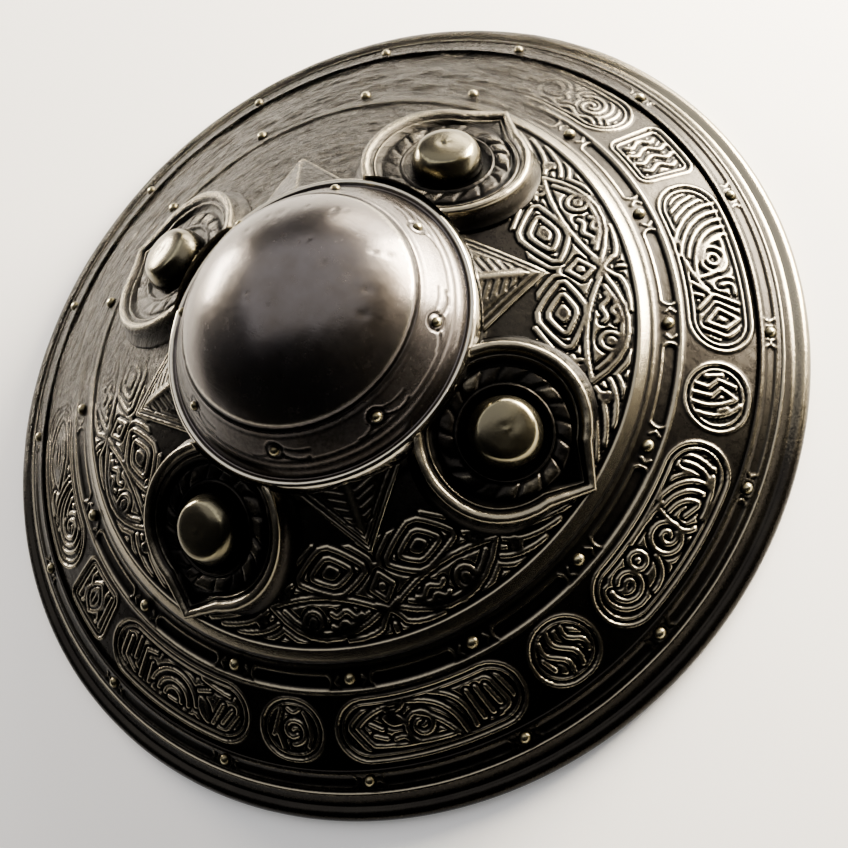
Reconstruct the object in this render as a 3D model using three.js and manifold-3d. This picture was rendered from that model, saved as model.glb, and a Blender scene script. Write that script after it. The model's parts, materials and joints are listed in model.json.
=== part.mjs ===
// Buckler: a small round hand shield lying face up on its rim, hollow side down.
// Millimetres, +Z up, origin on the ground at the centre of the rim.
import * as THREE from 'three';
import Module from 'manifold-3d';
import { mergeVertices } from 'three/addons/utils/BufferGeometryUtils.js';

const wasm = await Module();
wasm.setup();

const FIT_GAP = 0.3; // clearance left between neighbouring pieces
const AROUND = 44; // facets round the large turned pieces

// Dished plate: height of its outer face falls away from the axis as a shallow curve.
const RIM_RADIUS = 160;
const DISH_TOP = 75.85;
const DISH_LEAN = 0.16;
const DISH_CURVE = 0.0019;
const PLATE_THICK = 1.5; // measured straight down through the slope
const PLATE_OPENING = 46.5;
const PLATE_EDGE = 152;
const PLATE_STEPS = 6;

// Rim strip that laps the plate's edge and carries the outer rivets.
const STRIP_INNER = 144.3;
const STRIP_THICK = 1.2;
const CREST_RADIUS = 152.2;
const BEAD_RADIUS = 3.1;
const RIM_FOOT = 150.6;

// Ornamented disc laid over the plate.
const DISC_LIFT = 1.6; // its face above the plate's face
const DISC_INNER = 48;
const DISC_EDGE = 112;
const DISC_CREST = 108.9;
const DISC_STEPS = 4;

// Boss: a domed cap on a stepped, riveted flange.
const FLANGE_RADIUS = 59.3;
const FLANGE_SEAT = 53;
const LIP_TOP = 69.1;
const DOME_SPHERE = 57.6;
const DOME_TOP = 106.3;
const DOME_BASE = 44.1;
const DOME_STEPS = 5;
const SHELL = 1.6;

// Four studs, each a knob standing in a pointed bezel.
const STUD_COUNT = 4;
const STUD_RADIUS = 77;
const STUD_TILT = THREE.MathUtils.degToRad(27);
const KNOB_RADIUS = 13.5;
const KNOB_HEIGHT = 11.4;
const KNOB_FACETS = 14;
const BEZEL_ROUND = 28.2; // ridge radius of the rounded part
const BEZEL_SHOULDER = 2.6; // how far the ridge swells at the flanks
const BEZEL_TIP = 35.6; // ridge distance at the point
const BEZEL_RIDGE = 4.8;
const BEZEL_TIP_DROP = 1.6;
const BEZEL_FLARE = 4.4;
const BEZEL_WELL = 15.6;
const BEZEL_COLLAR = 22.6;
const BEZEL_FACETS = 22;

// Four folded leaves that point outward between the studs.
const LEAF_COUNT = 4;
const LEAF_TIP = 81.4;
const LEAF_ROOT = 54;
const LEAF_STEPS = 4;
const LEAF_SPREAD = 0.785; // half width gained per millimetre back from the tip
const LEAF_RISE = 4.3;
const LEAF_BORDER = 1.1;

// Rivet heads on their circles.
const RIM_RIVETS = { count: 16, circle: 147.7, head: 2.0, rise: 1.7 };
const BAND_RIVETS = { count: 16, circle: 116.2, head: 2.2, rise: 1.8 };
const BOSS_SLOPE = THREE.MathUtils.degToRad(54);
const BOSS_RIVETS = { count: 8, circle: 49.2, head: 1.9, rise: 1.6, seat: 78.1, tilt: BOSS_SLOPE };
const RIVET_FACETS = 8;

// Hand grip across the opening on the hollow side.
const GRIP_HALF_LENGTH = 76;
const GRIP_WIDTH = 20;
const GRIP_THICK = 3;
const GRIP_LEVEL = 56;
const GRIP_BEND = 58;
const SLEEVE_HALF_LENGTH = 43;
const SLEEVE_HALF_WIDTH = 14;
const SLEEVE_HALF_DEPTH = 9.5;
const SLEEVE_WAIST = 1.6;
const SLEEVE_STEPS = 4;
const GRIP_RIVET_AT = 67;
const GRIP_RIVET_HEAD = 5;
const GRIP_RIVET_RISE = 2.4;
const GRIP_RIVET_FACETS = 12;

const materialOf = (color, roughness, metalness) =>
  new THREE.MeshStandardMaterial({ color, roughness, metalness });
const PLATE_IRON = materialOf(0x4a4743, 0.5, 1);
const POLISHED_IRON = materialOf(0x6c6a68, 0.3, 1);
const RIVET_METAL = materialOf(0x9a8b66, 0.35, 1);
const BACK_IRON = materialOf(0x3d3a37, 0.6, 1);
const LEATHER = materialOf(0x3f2a1d, 0.8, 0);

const part = new THREE.Group();
part.name = 'buckler';

const add = (name, geometry, material) => {
  const mesh = new THREE.Mesh(geometry, material);
  mesh.name = name;
  part.add(mesh);
};

// Height of the plate's outer face at a distance from the axis.
const dish = (r) => DISH_TOP - DISH_LEAN * r - DISH_CURVE * r * r;
const discFace = (r) => dish(r) + DISC_LIFT;
const plateBack = (r) => dish(r) - PLATE_THICK;
const lerp = THREE.MathUtils.lerp;
const spread = (from, to, steps) =>
  Array.from({ length: steps + 1 }, (_, i) => lerp(from, to, i / steps));

// Joins closed rings of points into one shell. A ring of one point is a pole.
// Rings run from the top outward and back underneath; without poles the last meets the first.
const skin = (rings) => {
  const start = [];
  const xyz = [];
  for (const ring of rings) {
    start.push(xyz.length / 3);
    for (const p of ring) xyz.push(p.x, p.y, p.z);
  }
  const index = [];
  const open = rings[0].length === 1;
  const spans = open ? rings.length - 1 : rings.length;
  for (let k = 0; k < spans; k++) {
    const m = (k + 1) % rings.length;
    const n = Math.max(rings[k].length, rings[m].length);
    const at = (ring, j) => start[ring] + (rings[ring].length === 1 ? 0 : j % n);
    for (let j = 0; j < n; j++) {
      const [a, b, c, d] = [at(k, j), at(m, j), at(m, j + 1), at(k, j + 1)];
      if (b !== c) index.push(a, b, c);
      if (a !== d) index.push(a, c, d);
    }
  }
  const geometry = new THREE.BufferGeometry();
  geometry.setAttribute('position', new THREE.Float32BufferAttribute(xyz, 3));
  geometry.setIndex(index);
  return geometry;
};

// Turns a section of [radius, height] pairs about the Z axis.
const revolve = (section, facets) =>
  skin(
    section.map(([r, z]) => {
      if (r === 0) return [new THREE.Vector3(0, 0, z)];
      return Array.from({ length: facets }, (_, j) => {
        const turn = (2 * Math.PI * j) / facets;
        return new THREE.Vector3(r * Math.cos(turn), r * Math.sin(turn), z);
      });
    }),
  );

const toSolid = (geometry) => {
  const bare = geometry.clone();
  bare.deleteAttribute('normal');
  bare.deleteAttribute('uv');
  const welded = mergeVertices(bare, 1e-5);
  const vertProperties = new Float32Array(welded.attributes.position.array);
  const triVerts = new Uint32Array(welded.index.array);
  return new wasm.Manifold(new wasm.Mesh({ numProp: 3, vertProperties, triVerts }));
};

const fromSolid = (solid) => {
  const mesh = solid.getMesh();
  const geometry = new THREE.BufferGeometry();
  const points = new THREE.Float32BufferAttribute(mesh.vertProperties, 3);
  geometry.setAttribute('position', points);
  geometry.setIndex(Array.from(mesh.triVerts));
  return geometry;
};

const turned = (geometry, angle) => geometry.clone().rotateZ(angle);

// Plate: a dished ring of sheet with the hand opening in the middle.
const plateFace = spread(PLATE_OPENING, PLATE_EDGE, PLATE_STEPS);
const plateSection = [
  ...plateFace.map((r) => [r, dish(r)]),
  ...plateFace.toReversed().map((r) => [r, plateBack(r)]),
];
add('plate', revolve(plateSection, AROUND), PLATE_IRON);

// Rim: lapping strip, sharp crest, hollow channel and rolled bead, flat underneath.
const beadCentre = [RIM_RADIUS - BEAD_RADIUS, BEAD_RADIUS];
const bead = [95, 45, 0, -50].map((deg) => {
  const a = THREE.MathUtils.degToRad(deg);
  return [beadCentre[0] + BEAD_RADIUS * Math.cos(a), beadCentre[1] + BEAD_RADIUS * Math.sin(a)];
});
const slotEnd = PLATE_EDGE + FIT_GAP;
const rimSection = [
  [STRIP_INNER, dish(STRIP_INNER) + FIT_GAP],
  [STRIP_INNER, dish(STRIP_INNER) + FIT_GAP + STRIP_THICK],
  [CREST_RADIUS - 1.6, dish(CREST_RADIUS - 1.6) + FIT_GAP + STRIP_THICK],
  [CREST_RADIUS - 0.9, dish(CREST_RADIUS) + 2.3],
  [CREST_RADIUS, dish(CREST_RADIUS) + 2.1],
  [CREST_RADIUS + 1.5, dish(CREST_RADIUS)],
  [CREST_RADIUS + 3, BEAD_RADIUS * 1.75],
  ...bead,
  [beadCentre[0], 0],
  [RIM_FOOT, 0],
  [RIM_FOOT, plateBack(RIM_FOOT) - FIT_GAP],
  [slotEnd, plateBack(slotEnd) - FIT_GAP],
  [slotEnd, dish(slotEnd) + FIT_GAP],
];
add('rim', revolve(rimSection, AROUND), PLATE_IRON);

// Disc: an ornamented ring of sheet with a bevelled edge.
const discTop = spread(DISC_INNER, DISC_CREST - 1.2, DISC_STEPS);
const discSection = [
  ...discTop.map((r) => [r, discFace(r)]),
  [DISC_CREST, discFace(DISC_CREST) + 0.5],
  [DISC_EDGE, dish(DISC_EDGE) + 2 * FIT_GAP],
  [DISC_EDGE - 0.4, dish(DISC_EDGE) + FIT_GAP],
  ...spread(DISC_CREST - 1.2, DISC_INNER, DISC_STEPS).map((r) => [r, dish(r) + FIT_GAP]),
];
add('disc', revolve(discSection, AROUND), PLATE_IRON);

// Boss: dome, cove, stepped flange and rounded lip, hollow behind.
const capArc = (sphere, base) =>
  spread(0, Math.asin(base / DOME_SPHERE), DOME_STEPS).map((a) => [
    sphere * Math.sin(a),
    DOME_TOP - DOME_SPHERE + sphere * Math.cos(a),
  ]);
const bossSection = [
  ...capArc(DOME_SPHERE, DOME_BASE),
  [DOME_BASE + 2.6, 81.4],
  [DOME_BASE + 5.2, 77.8],
  [DOME_BASE + 7.9, 74],
  [DOME_BASE + 10.6, LIP_TOP + 0.8],
  [FLANGE_RADIUS - 3.7, LIP_TOP - 1.1],
  [FLANGE_RADIUS - 1.8, LIP_TOP],
  [FLANGE_RADIUS - 0.3, LIP_TOP - 1.2],
  [FLANGE_RADIUS, LIP_TOP - 3.4],
  [FLANGE_RADIUS - 0.3, discFace(FLANGE_RADIUS) + FIT_GAP],
  [FLANGE_SEAT, discFace(FLANGE_SEAT) + FIT_GAP],
  [FLANGE_SEAT - 0.4, LIP_TOP - 0.3],
  [FLANGE_SEAT - 3.2, LIP_TOP + 4.5],
  [FLANGE_SEAT - 7.4, 79.8],
  ...capArc(DOME_SPHERE - SHELL, DOME_BASE).toReversed(),
];
add('boss', revolve(bossSection, AROUND), POLISHED_IRON);

// Cutter that trims studs and leaves clear of the boss flange.
const flangeCutter = toSolid(
  new THREE.CylinderGeometry(
    FLANGE_RADIUS + FIT_GAP,
    FLANGE_RADIUS + FIT_GAP,
    2 * DOME_TOP,
    2 * AROUND,
  ).rotateX(Math.PI / 2),
);
const trimmed = (geometry) => fromSolid(toSolid(geometry).subtract(flangeCutter));

// Stud frame: u across, v down the slope, n away from the face.
const studPoint = (u, v, n) => {
  const along = v * Math.cos(STUD_TILT) + n * Math.sin(STUD_TILT);
  const up = n * Math.cos(STUD_TILT) - v * Math.sin(STUD_TILT);
  return new THREE.Vector3(STUD_RADIUS + along, u, discFace(STUD_RADIUS) + up);
};

// Same stud position dropped on to the disc's face.
const onDisc = (u, v) => {
  const p = studPoint(u, v, 0);
  p.z = discFace(Math.hypot(p.x, p.y)) + FIT_GAP;
  return p;
};

// Angle away from the outward point, folded to 0..pi.
const offPoint = (angle) => Math.abs(Math.atan2(Math.sin(angle), Math.cos(angle)));

// Distance of a bezel ridge from its stud centre: round, swelling at the flanks, pointed outward.
const BEZEL_TOUCH = Math.acos(BEZEL_ROUND / BEZEL_TIP);
const ridgeAt = (angle) => {
  const off = offPoint(angle);
  const swell = BEZEL_SHOULDER * Math.sin(Math.min(off, Math.PI / 2)) ** 2;
  if (off > BEZEL_TOUCH) return BEZEL_ROUND + swell;
  return Math.max(BEZEL_ROUND + swell, BEZEL_ROUND / Math.cos(BEZEL_TOUCH - off));
};
const tipDrop = (angle) => BEZEL_TIP_DROP * Math.exp(-((offPoint(angle) / 0.35) ** 2));
const ridgeHeight = (angle) => BEZEL_RIDGE - tipDrop(angle);
const flareAt = (angle) => BEZEL_FLARE * Math.sin(Math.min(offPoint(angle), Math.PI / 2)) ** 1.5;
const footAt = (angle) => ridgeAt(angle) + flareAt(angle);

// Ring about the stud centre, counter-clockwise from the outward point.
const bezelRing = (radiusAt, place) =>
  Array.from({ length: BEZEL_FACETS }, (_, j) => {
    const angle = (2 * Math.PI * j) / BEZEL_FACETS;
    const r = radiusAt(angle);
    return place(r * Math.sin(angle), r * Math.cos(angle), angle);
  });
const atHeight = (n) => (u, v) => studPoint(u, v, n);
const underRidge = (drop) => (u, v, angle) => studPoint(u, v, ridgeHeight(angle) - drop);

const bezelRings = [
  [studPoint(0, 0, 1)],
  bezelRing(() => BEZEL_WELL, atHeight(1)),
  bezelRing(() => BEZEL_WELL + 0.6, atHeight(2.4)),
  bezelRing(() => BEZEL_COLLAR, atHeight(2.4)),
  bezelRing((a) => Math.max(ridgeAt(a) - 5.2, BEZEL_COLLAR + 0.3), atHeight(1.7)),
  bezelRing((a) => ridgeAt(a) - 3.8, underRidge(0.6)),
  bezelRing(ridgeAt, underRidge(0)),
  bezelRing(footAt, onDisc),
  bezelRing((a) => footAt(a) * 0.66, onDisc),
  bezelRing((a) => footAt(a) * 0.33, onDisc),
  [onDisc(0, 0)],
];
const bezel = trimmed(skin(bezelRings));

// Knob: a rounded stud with a slightly flattened crown.
const KNOB_SEAT = 1 + FIT_GAP;
const knobSection = [
  [0, KNOB_HEIGHT],
  [KNOB_RADIUS * 0.62, KNOB_HEIGHT - 0.7],
  [KNOB_RADIUS * 0.88, KNOB_HEIGHT - 3],
  [KNOB_RADIUS, KNOB_HEIGHT - 6.4],
  [KNOB_RADIUS, KNOB_SEAT],
  [0, KNOB_SEAT],
];
const knob = revolve(knobSection, KNOB_FACETS);
const knobPoints = knob.attributes.position;
for (let i = 0; i < knobPoints.count; i++) {
  const p = studPoint(knobPoints.getY(i), knobPoints.getX(i), knobPoints.getZ(i));
  knobPoints.setXYZ(i, p.x, p.y, p.z);
}

for (let i = 0; i < STUD_COUNT; i++) {
  const turn = (2 * Math.PI * i) / STUD_COUNT;
  add(`bezel_${i + 1}`, turned(bezel, turn), PLATE_IRON);
  add(`knob_${i + 1}`, turned(knob, turn), POLISHED_IRON);
}

// Leaf: a low folded point whose foot follows the disc; its root slides under the flange line.
const leafHalf = (x) => LEAF_SPREAD * (LEAF_TIP - x);
const leafRing = (x) => {
  const across = [-1, -0.5, 0, 0.5, 1].map((s) => s * leafHalf(x));
  const fold = LEAF_RISE * ((LEAF_TIP - x) / (LEAF_TIP - LEAF_ROOT)) ** 0.8;
  const foot = (y) => discFace(Math.hypot(x, y)) + FIT_GAP;
  const lift = (y) => LEAF_BORDER + fold * (1 - Math.abs(y) / leafHalf(x));
  const face = across.map((y) => new THREE.Vector3(x, y, foot(y) + lift(y)));
  const back = across.toReversed().map((y) => new THREE.Vector3(x, y, foot(y)));
  return [...face, ...back];
};
const leafRings = spread(LEAF_ROOT, LEAF_TIP - 1, LEAF_STEPS).map(leafRing);
const middle = (ring) =>
  ring.reduce((sum, p) => sum.add(p), new THREE.Vector3()).divideScalar(ring.length);
const capped = (rings) => [[middle(rings[0])], ...rings, [middle(rings.at(-1))]];
const leaf = trimmed(skin(capped(leafRings)));
for (let i = 0; i < LEAF_COUNT; i++) {
  const turn = (2 * Math.PI * (i + 0.5)) / LEAF_COUNT;
  add(`leaf_${i + 1}`, turned(leaf, turn), PLATE_IRON);
}

// Domed rivet head standing just clear of a seat, facing along an axis.
const rivetHead = (head, rise, facets, seat, axis) => {
  const section = [
    [0, rise],
    [head * 0.7, rise * 0.7],
    [head, 0],
    [0, 0],
  ];
  const aim = new THREE.Quaternion().setFromUnitVectors(new THREE.Vector3(0, 0, 1), axis);
  const stand = axis.clone().multiplyScalar(FIT_GAP).add(seat);
  return revolve(section, facets).applyQuaternion(aim).translate(stand.x, stand.y, stand.z);
};

const rivetRow = (name, row) => {
  const seat = new THREE.Vector3(row.circle, 0, row.seat);
  const axis = new THREE.Vector3(Math.sin(row.tilt), 0, Math.cos(row.tilt));
  const head = rivetHead(row.head, row.rise, RIVET_FACETS, seat, axis);
  for (let i = 0; i < row.count; i++) {
    const label = String(i + 1).padStart(2, '0');
    add(`${name}_${label}`, turned(head, (2 * Math.PI * (i + 0.5)) / row.count), RIVET_METAL);
  }
};
const slopeAt = (r) => Math.atan(DISH_LEAN + 2 * DISH_CURVE * r);
const stripFace = (r) => dish(r) + FIT_GAP + STRIP_THICK;
rivetRow('rim_rivet', {
  ...RIM_RIVETS,
  seat: stripFace(RIM_RIVETS.circle),
  tilt: slopeAt(RIM_RIVETS.circle),
});
rivetRow('band_rivet', {
  ...BAND_RIVETS,
  seat: dish(BAND_RIVETS.circle),
  tilt: slopeAt(BAND_RIVETS.circle),
});
rivetRow('boss_rivet', BOSS_RIVETS);

// Grip strap across the opening, its ends lying along the back of the plate.
const strapTop = (x) =>
  Math.min(plateBack(Math.hypot(x, GRIP_WIDTH / 2)) - FIT_GAP, GRIP_LEVEL + GRIP_THICK / 2);
const strapRing = (x) => {
  const top = strapTop(x);
  const low = top - GRIP_THICK;
  const half = GRIP_WIDTH / 2;
  return [
    new THREE.Vector3(x, -half, top),
    new THREE.Vector3(x, half, top),
    new THREE.Vector3(x, half, low),
    new THREE.Vector3(x, -half, low),
  ];
};
const footAlong = [GRIP_BEND, GRIP_RIVET_AT, GRIP_HALF_LENGTH];
const strapAlong = [...footAlong.toReversed().map((x) => -x), ...footAlong];
add('grip_strap', skin(capped(strapAlong.map(strapRing))), BACK_IRON);

// Sleeve: an oval tube round the strap, slightly fuller in the middle.
const boreHalf = [GRIP_WIDTH / 2 + FIT_GAP, GRIP_THICK / 2 + FIT_GAP];
const boreCorner = Math.atan2(boreHalf[1], boreHalf[0]);
const quarter = [0, boreCorner, ...[30, 50, 70, 90].map(THREE.MathUtils.degToRad)];
const halfTurn = [...quarter, ...quarter.toReversed().slice(1, -1).map((a) => Math.PI - a)];
const sleeveAngles = [...halfTurn, ...halfTurn.map((a) => a + Math.PI)].toReversed();
const sleeveRing = (x, shape) =>
  sleeveAngles.map((a) => {
    const [y, z] = shape(Math.cos(a), Math.sin(a));
    return new THREE.Vector3(x, y, GRIP_LEVEL + z);
  });
const bore = (c, s) => {
  const k = Math.max(Math.abs(c) / boreHalf[0], Math.abs(s) / boreHalf[1]);
  return [c / k, s / k];
};
const oval = (x) => (c, s) => {
  const waist = SLEEVE_WAIST * (x / SLEEVE_HALF_LENGTH) ** 2;
  return [c * (SLEEVE_HALF_WIDTH - waist), s * (SLEEVE_HALF_DEPTH - waist)];
};
const sleeveAlong = spread(-SLEEVE_HALF_LENGTH, SLEEVE_HALF_LENGTH, SLEEVE_STEPS);
const sleeveRings = [
  ...sleeveAlong.map((x) => sleeveRing(x, oval(x))),
  sleeveRing(SLEEVE_HALF_LENGTH, bore),
  sleeveRing(-SLEEVE_HALF_LENGTH, bore),
];
add('grip_sleeve', skin(sleeveRings), LEATHER);

// Two rivets hold the strap; their heads show on the hollow side.
const strapTilt = slopeAt(GRIP_RIVET_AT);
for (const [i, side] of [1, -1].entries()) {
  const seatHeight = strapTop(GRIP_RIVET_AT) - GRIP_THICK - FIT_GAP;
  const seat = new THREE.Vector3(side * GRIP_RIVET_AT, 0, seatHeight);
  const axis = new THREE.Vector3(-side * Math.sin(strapTilt), 0, -Math.cos(strapTilt));
  const head = rivetHead(GRIP_RIVET_HEAD, GRIP_RIVET_RISE, GRIP_RIVET_FACETS, seat, axis);
  add(`grip_rivet_${i + 1}`, head, BACK_IRON);
}

export default part;
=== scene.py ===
"""Looks of a round iron buckler that lies face up on its rim.

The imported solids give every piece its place. This script replaces them with finely carved
meshes, dresses each in its metal or leather, and sets up a plain studio to see them in.
Lengths are millimetres while a surface is being worked out, and metres once it is a mesh.
"""

import json
import logging
import math
from dataclasses import dataclass
from enum import Enum
from typing import Callable, Sequence

import bpy
import numpy as np
from mathutils import Matrix, Vector

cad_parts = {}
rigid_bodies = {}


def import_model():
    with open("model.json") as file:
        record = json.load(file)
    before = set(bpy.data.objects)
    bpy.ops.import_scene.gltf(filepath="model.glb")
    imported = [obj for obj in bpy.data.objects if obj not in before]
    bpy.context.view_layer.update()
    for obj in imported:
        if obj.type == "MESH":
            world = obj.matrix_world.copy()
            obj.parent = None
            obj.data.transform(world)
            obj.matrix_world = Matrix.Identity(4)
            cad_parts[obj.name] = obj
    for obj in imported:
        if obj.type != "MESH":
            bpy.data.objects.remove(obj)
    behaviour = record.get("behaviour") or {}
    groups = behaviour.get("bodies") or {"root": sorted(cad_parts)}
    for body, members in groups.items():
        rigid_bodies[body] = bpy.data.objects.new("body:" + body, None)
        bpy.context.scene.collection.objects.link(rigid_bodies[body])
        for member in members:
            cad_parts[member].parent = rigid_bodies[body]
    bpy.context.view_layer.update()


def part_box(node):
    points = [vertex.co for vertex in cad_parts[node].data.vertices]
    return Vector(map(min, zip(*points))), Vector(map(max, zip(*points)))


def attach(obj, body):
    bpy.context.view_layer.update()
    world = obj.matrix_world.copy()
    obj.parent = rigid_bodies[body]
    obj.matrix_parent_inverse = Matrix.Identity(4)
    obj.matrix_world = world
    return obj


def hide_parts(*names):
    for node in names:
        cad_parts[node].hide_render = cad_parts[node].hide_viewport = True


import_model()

LOG = logging.getLogger("buckler")
MM = 0.001
TURN = 2 * math.pi
Array = np.ndarray
Path = Array  # an (n, 2) run of points, in millimetres
Point = tuple[float, float]


# ---------------------------------------------------------------- driving sizes


def reach(node: str, axis: int) -> float:
    """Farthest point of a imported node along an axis, in millimetres."""
    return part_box(node)[1][axis] / MM


RIM_RADIUS = reach("rim", 0)
DOME_TOP = reach("boss", 2)
DISC_EDGE = reach("disc", 0)
DISH_TOP = 75.85
DISH_LEAN = 0.16
DISH_CURVE = 0.0019
PLATE_THICK = 1.5
PLATE_OPENING = 46.5
PLATE_EDGE = 152.0
FIT_GAP = 0.3
DISC_LIFT = 1.6
DISC_INNER = 48.0
STRIP_INNER = 144.3
STRIP_THICK = 1.2
CREST_RADIUS = 152.2
BEAD_RADIUS = 3.1
RIM_FOOT = 150.6
FLANGE_RADIUS = 59.3
DOME_SPHERE = 57.6
DOME_BASE = 44.1
SHELL = 1.6
STUD_COUNT = 4
STUD_RADIUS = 77.0
STUD_TILT = math.radians(27)
LEAF_TIP = 81.4
LEAF_ROOT = 54.0
LEAF_SPREAD = 0.785
CONTOUR_REACH = 9.0
RIM_RIVET_CIRCLE = 147.7
BAND_RIVET_CIRCLE = 116.2
BOSS_RIVET_CIRCLE = 49.2
RIM_RIVET_SINK = 0.5
BAND_RIVET_SINK = 0.4
COVE_SEAT = 78.1
COVE_LEAN = math.radians(54)
KNOB_SEAT = 1.3

# Knob from its crown to its seat, as (radius, height).
KNOB_PROFILE = (
    (0.6, 11.4), (4, 11.3), (7, 11.0), (9, 10.5), (10.3, 9.8), (11.3, 8.7), (12.2, 7.2), (12.9, 5.6),
    (13.3, 4.2), (13.4, 2.8), (13.3, 1.3),
)
# Floor of a bezel outwards from its middle, as (distance, height, wear).
BEZEL_WELL = (
    (6.0, 1.0, 0.05), (15.0, 1.0, 0.05), (15.6, 1.3, 0.1), (15.9, 2.0, 0.35), (16.3, 2.4, 0.5),
    (16.8, 2.3, 0.4), (17.2, 1.7, 0.1),
)
# Rows of the rope of petals, and the middle of the rope.
ROPE_ROWS = (17.5, 17.9, 18.4, 19.0, 19.7, 20.4, 21.1, 21.8, 22.3, 22.7)
ROPE_MIDDLE = 20.1
# Moulding of a bezel, as (offset from the ridge, offset from its crown, wear).
BEZEL_RIDGE = (
    (-5.2, -2.4, 0.35), (-4.9, -1.75, 0.6), (-4.5, -1.5, 0.7), (-4.15, -1.65, 0.5), (-3.85, -1.95, 0.2),
    (-3.6, -1.9, 0.25), (-3.2, -1.2, 0.5), (-2.7, -0.6, 0.66), (-2.1, -0.2, 0.8), (-1.4, -0.0, 0.86),
    (-0.7, -0.02, 0.86), (-0.1, -0.25, 0.8), (0.35, -0.7, 0.8),
)

# The face is rubbed smooth round this direction and keeps its ornament elsewhere.
WORN_HEADING = math.radians(61)
WORN_CORE = math.radians(50)
WORN_FADE = math.radians(78)
WORN_LOSS = 0.93


def dish(r: Array | float) -> Array | float:
    """Height of the plate's outer face at a distance from the axis."""
    return DISH_TOP - DISH_LEAN * r - DISH_CURVE * r * r


def slope(r: Array | float) -> Array | float:
    """Fall of the dished face at a distance from the axis, as an angle."""
    return np.arctan(DISH_LEAN + 2 * DISH_CURVE * r)


def ease(low: float, high: float, value: Array | float) -> Array | float:
    """Smooth step from 0 at low to 1 at high."""
    t = np.clip((value - low) / (high - low), 0, 1)
    return t * t * (3 - 2 * t)


def apart(angle: Array | float, heading: float) -> Array | float:
    """Angle from a heading, between -pi and pi."""
    return (angle - heading + math.pi) % TURN - math.pi


def worn(angle: Array | float) -> Array | float:
    """How far the ornament is rubbed away in a direction: 0 crisp, 1 gone."""
    return 1 - ease(WORN_CORE, WORN_FADE, np.abs(apart(angle, WORN_HEADING)))


# ---------------------------------------------------------------- surface texture


class Grain:
    """Smooth random relief that closes on itself round the shield."""

    def __init__(self, seed: int) -> None:
        """Seed the lattice.

        Args:
            seed: chooses one fixed pattern.
        """
        self.lattice = np.random.default_rng(seed).uniform(-1, 1, (256, 256))

    def layer(self, x: Array, y: Array, wrap: int) -> Array:
        """One smooth layer of bumps, a cell to a unit.

        Args:
            x: position along, in cells.
            y: position across, in cells.
            wrap: number of cells after which x repeats.

        Returns:
            Heights between -1 and 1.
        """
        i, j = np.floor(x).astype(int), np.floor(y).astype(int)
        u, v = x - i, y - j
        u, v = u * u * (3 - 2 * u), v * v * (3 - 2 * v)
        left, right = i % wrap % 256, (i + 1) % wrap % 256
        low, high = j % 256, (j + 1) % 256
        table = self.lattice
        near = table[left, low] * (1 - u) + table[right, low] * u
        far = table[left, high] * (1 - u) + table[right, high] * u
        return near * (1 - v) + far * v

    def around(self, angle: Array, r: Array, cell: float, stretch: float, octaves: int) -> Array:
        """Layered bumps on a turned surface.

        Args:
            angle: direction from the axis.
            r: distance from the axis, or along the section.
            cell: size of the largest bumps, across.
            stretch: how much longer they are along the turn.
            octaves: number of layers, each half the size of the last.

        Returns:
            Heights between about -1 and 1.
        """
        total = np.zeros(np.broadcast(angle, r).shape)
        share = 1.0
        for octave in range(octaves):
            size = cell / 2**octave
            wrap = max(3, round(TURN * 100 / (size * stretch)))
            total += share * self.layer(angle / TURN * wrap + 7.3 * octave, r / size, wrap)
            share *= 0.55
        return total / 1.6


# ---------------------------------------------------------------- strokes of the ornament


def arc(cx: float, cy: float, radius: float, start: float, end: float, squash: float = 1) -> Path:
    """Arc about a centre.

    Args:
        cx: centre, along.
        cy: centre, across.
        radius: its radius.
        start: first angle in degrees.
        end: last angle in degrees.
        squash: share of the radius across.

    Returns:
        The stroke.
    """
    steps = max(6, int(abs(end - start) / 12))
    a = np.radians(np.linspace(start, end, steps + 1))
    return np.stack([cx + radius * np.cos(a), cy + squash * radius * np.sin(a)], 1)


def ring(cx: float, cy: float, radius: float, squash: float = 1) -> Path:
    """Full round."""
    return arc(cx, cy, radius, 0, 360, squash)


def curl(cx: float, cy: float, outer: float, inner: float, start: float, sweep: float) -> Path:
    """Spiral that winds in from an outer radius to an inner one.

    Args:
        cx: centre, along.
        cy: centre, across.
        outer: first radius.
        inner: last radius.
        start: first angle in degrees.
        sweep: how far it turns in degrees.

    Returns:
        The stroke.
    """
    t = np.linspace(0, 1, max(8, int(abs(sweep) / 14)))
    a = np.radians(start + sweep * t)
    radius = outer + (inner - outer) * t
    return np.stack([cx + radius * np.cos(a), cy + radius * np.sin(a)], 1)


def bend(start: Point, pull: Point, end: Point) -> Path:
    """Curved stroke between two points, drawn towards a third.

    Args:
        start: first point.
        pull: point it is drawn towards.
        end: last point.

    Returns:
        The stroke.
    """
    t = np.linspace(0, 1, 9)[:, None]
    a, b, c = np.array(start), np.array(pull), np.array(end)
    return (1 - t) ** 2 * a + 2 * t * (1 - t) * b + t**2 * c


def line(*points: Point) -> Path:
    """Straight strokes through points."""
    return np.array(points, float)


def wave(start: Point, end: Point, swing: float, turns: float) -> Path:
    """Stroke that swings from side to side on its way.

    Args:
        start: first point.
        end: last point.
        swing: how far it swings to a side.
        turns: number of full swings.

    Returns:
        The stroke.
    """
    t = np.linspace(0, 1, int(10 * turns) + 2)
    a, b = np.array(start, float), np.array(end, float)
    way = b - a
    side = np.array([-way[1], way[0]]) / np.hypot(*way)
    return a + np.outer(t, way) + np.outer(swing * np.sin(TURN * turns * t), side)


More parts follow.
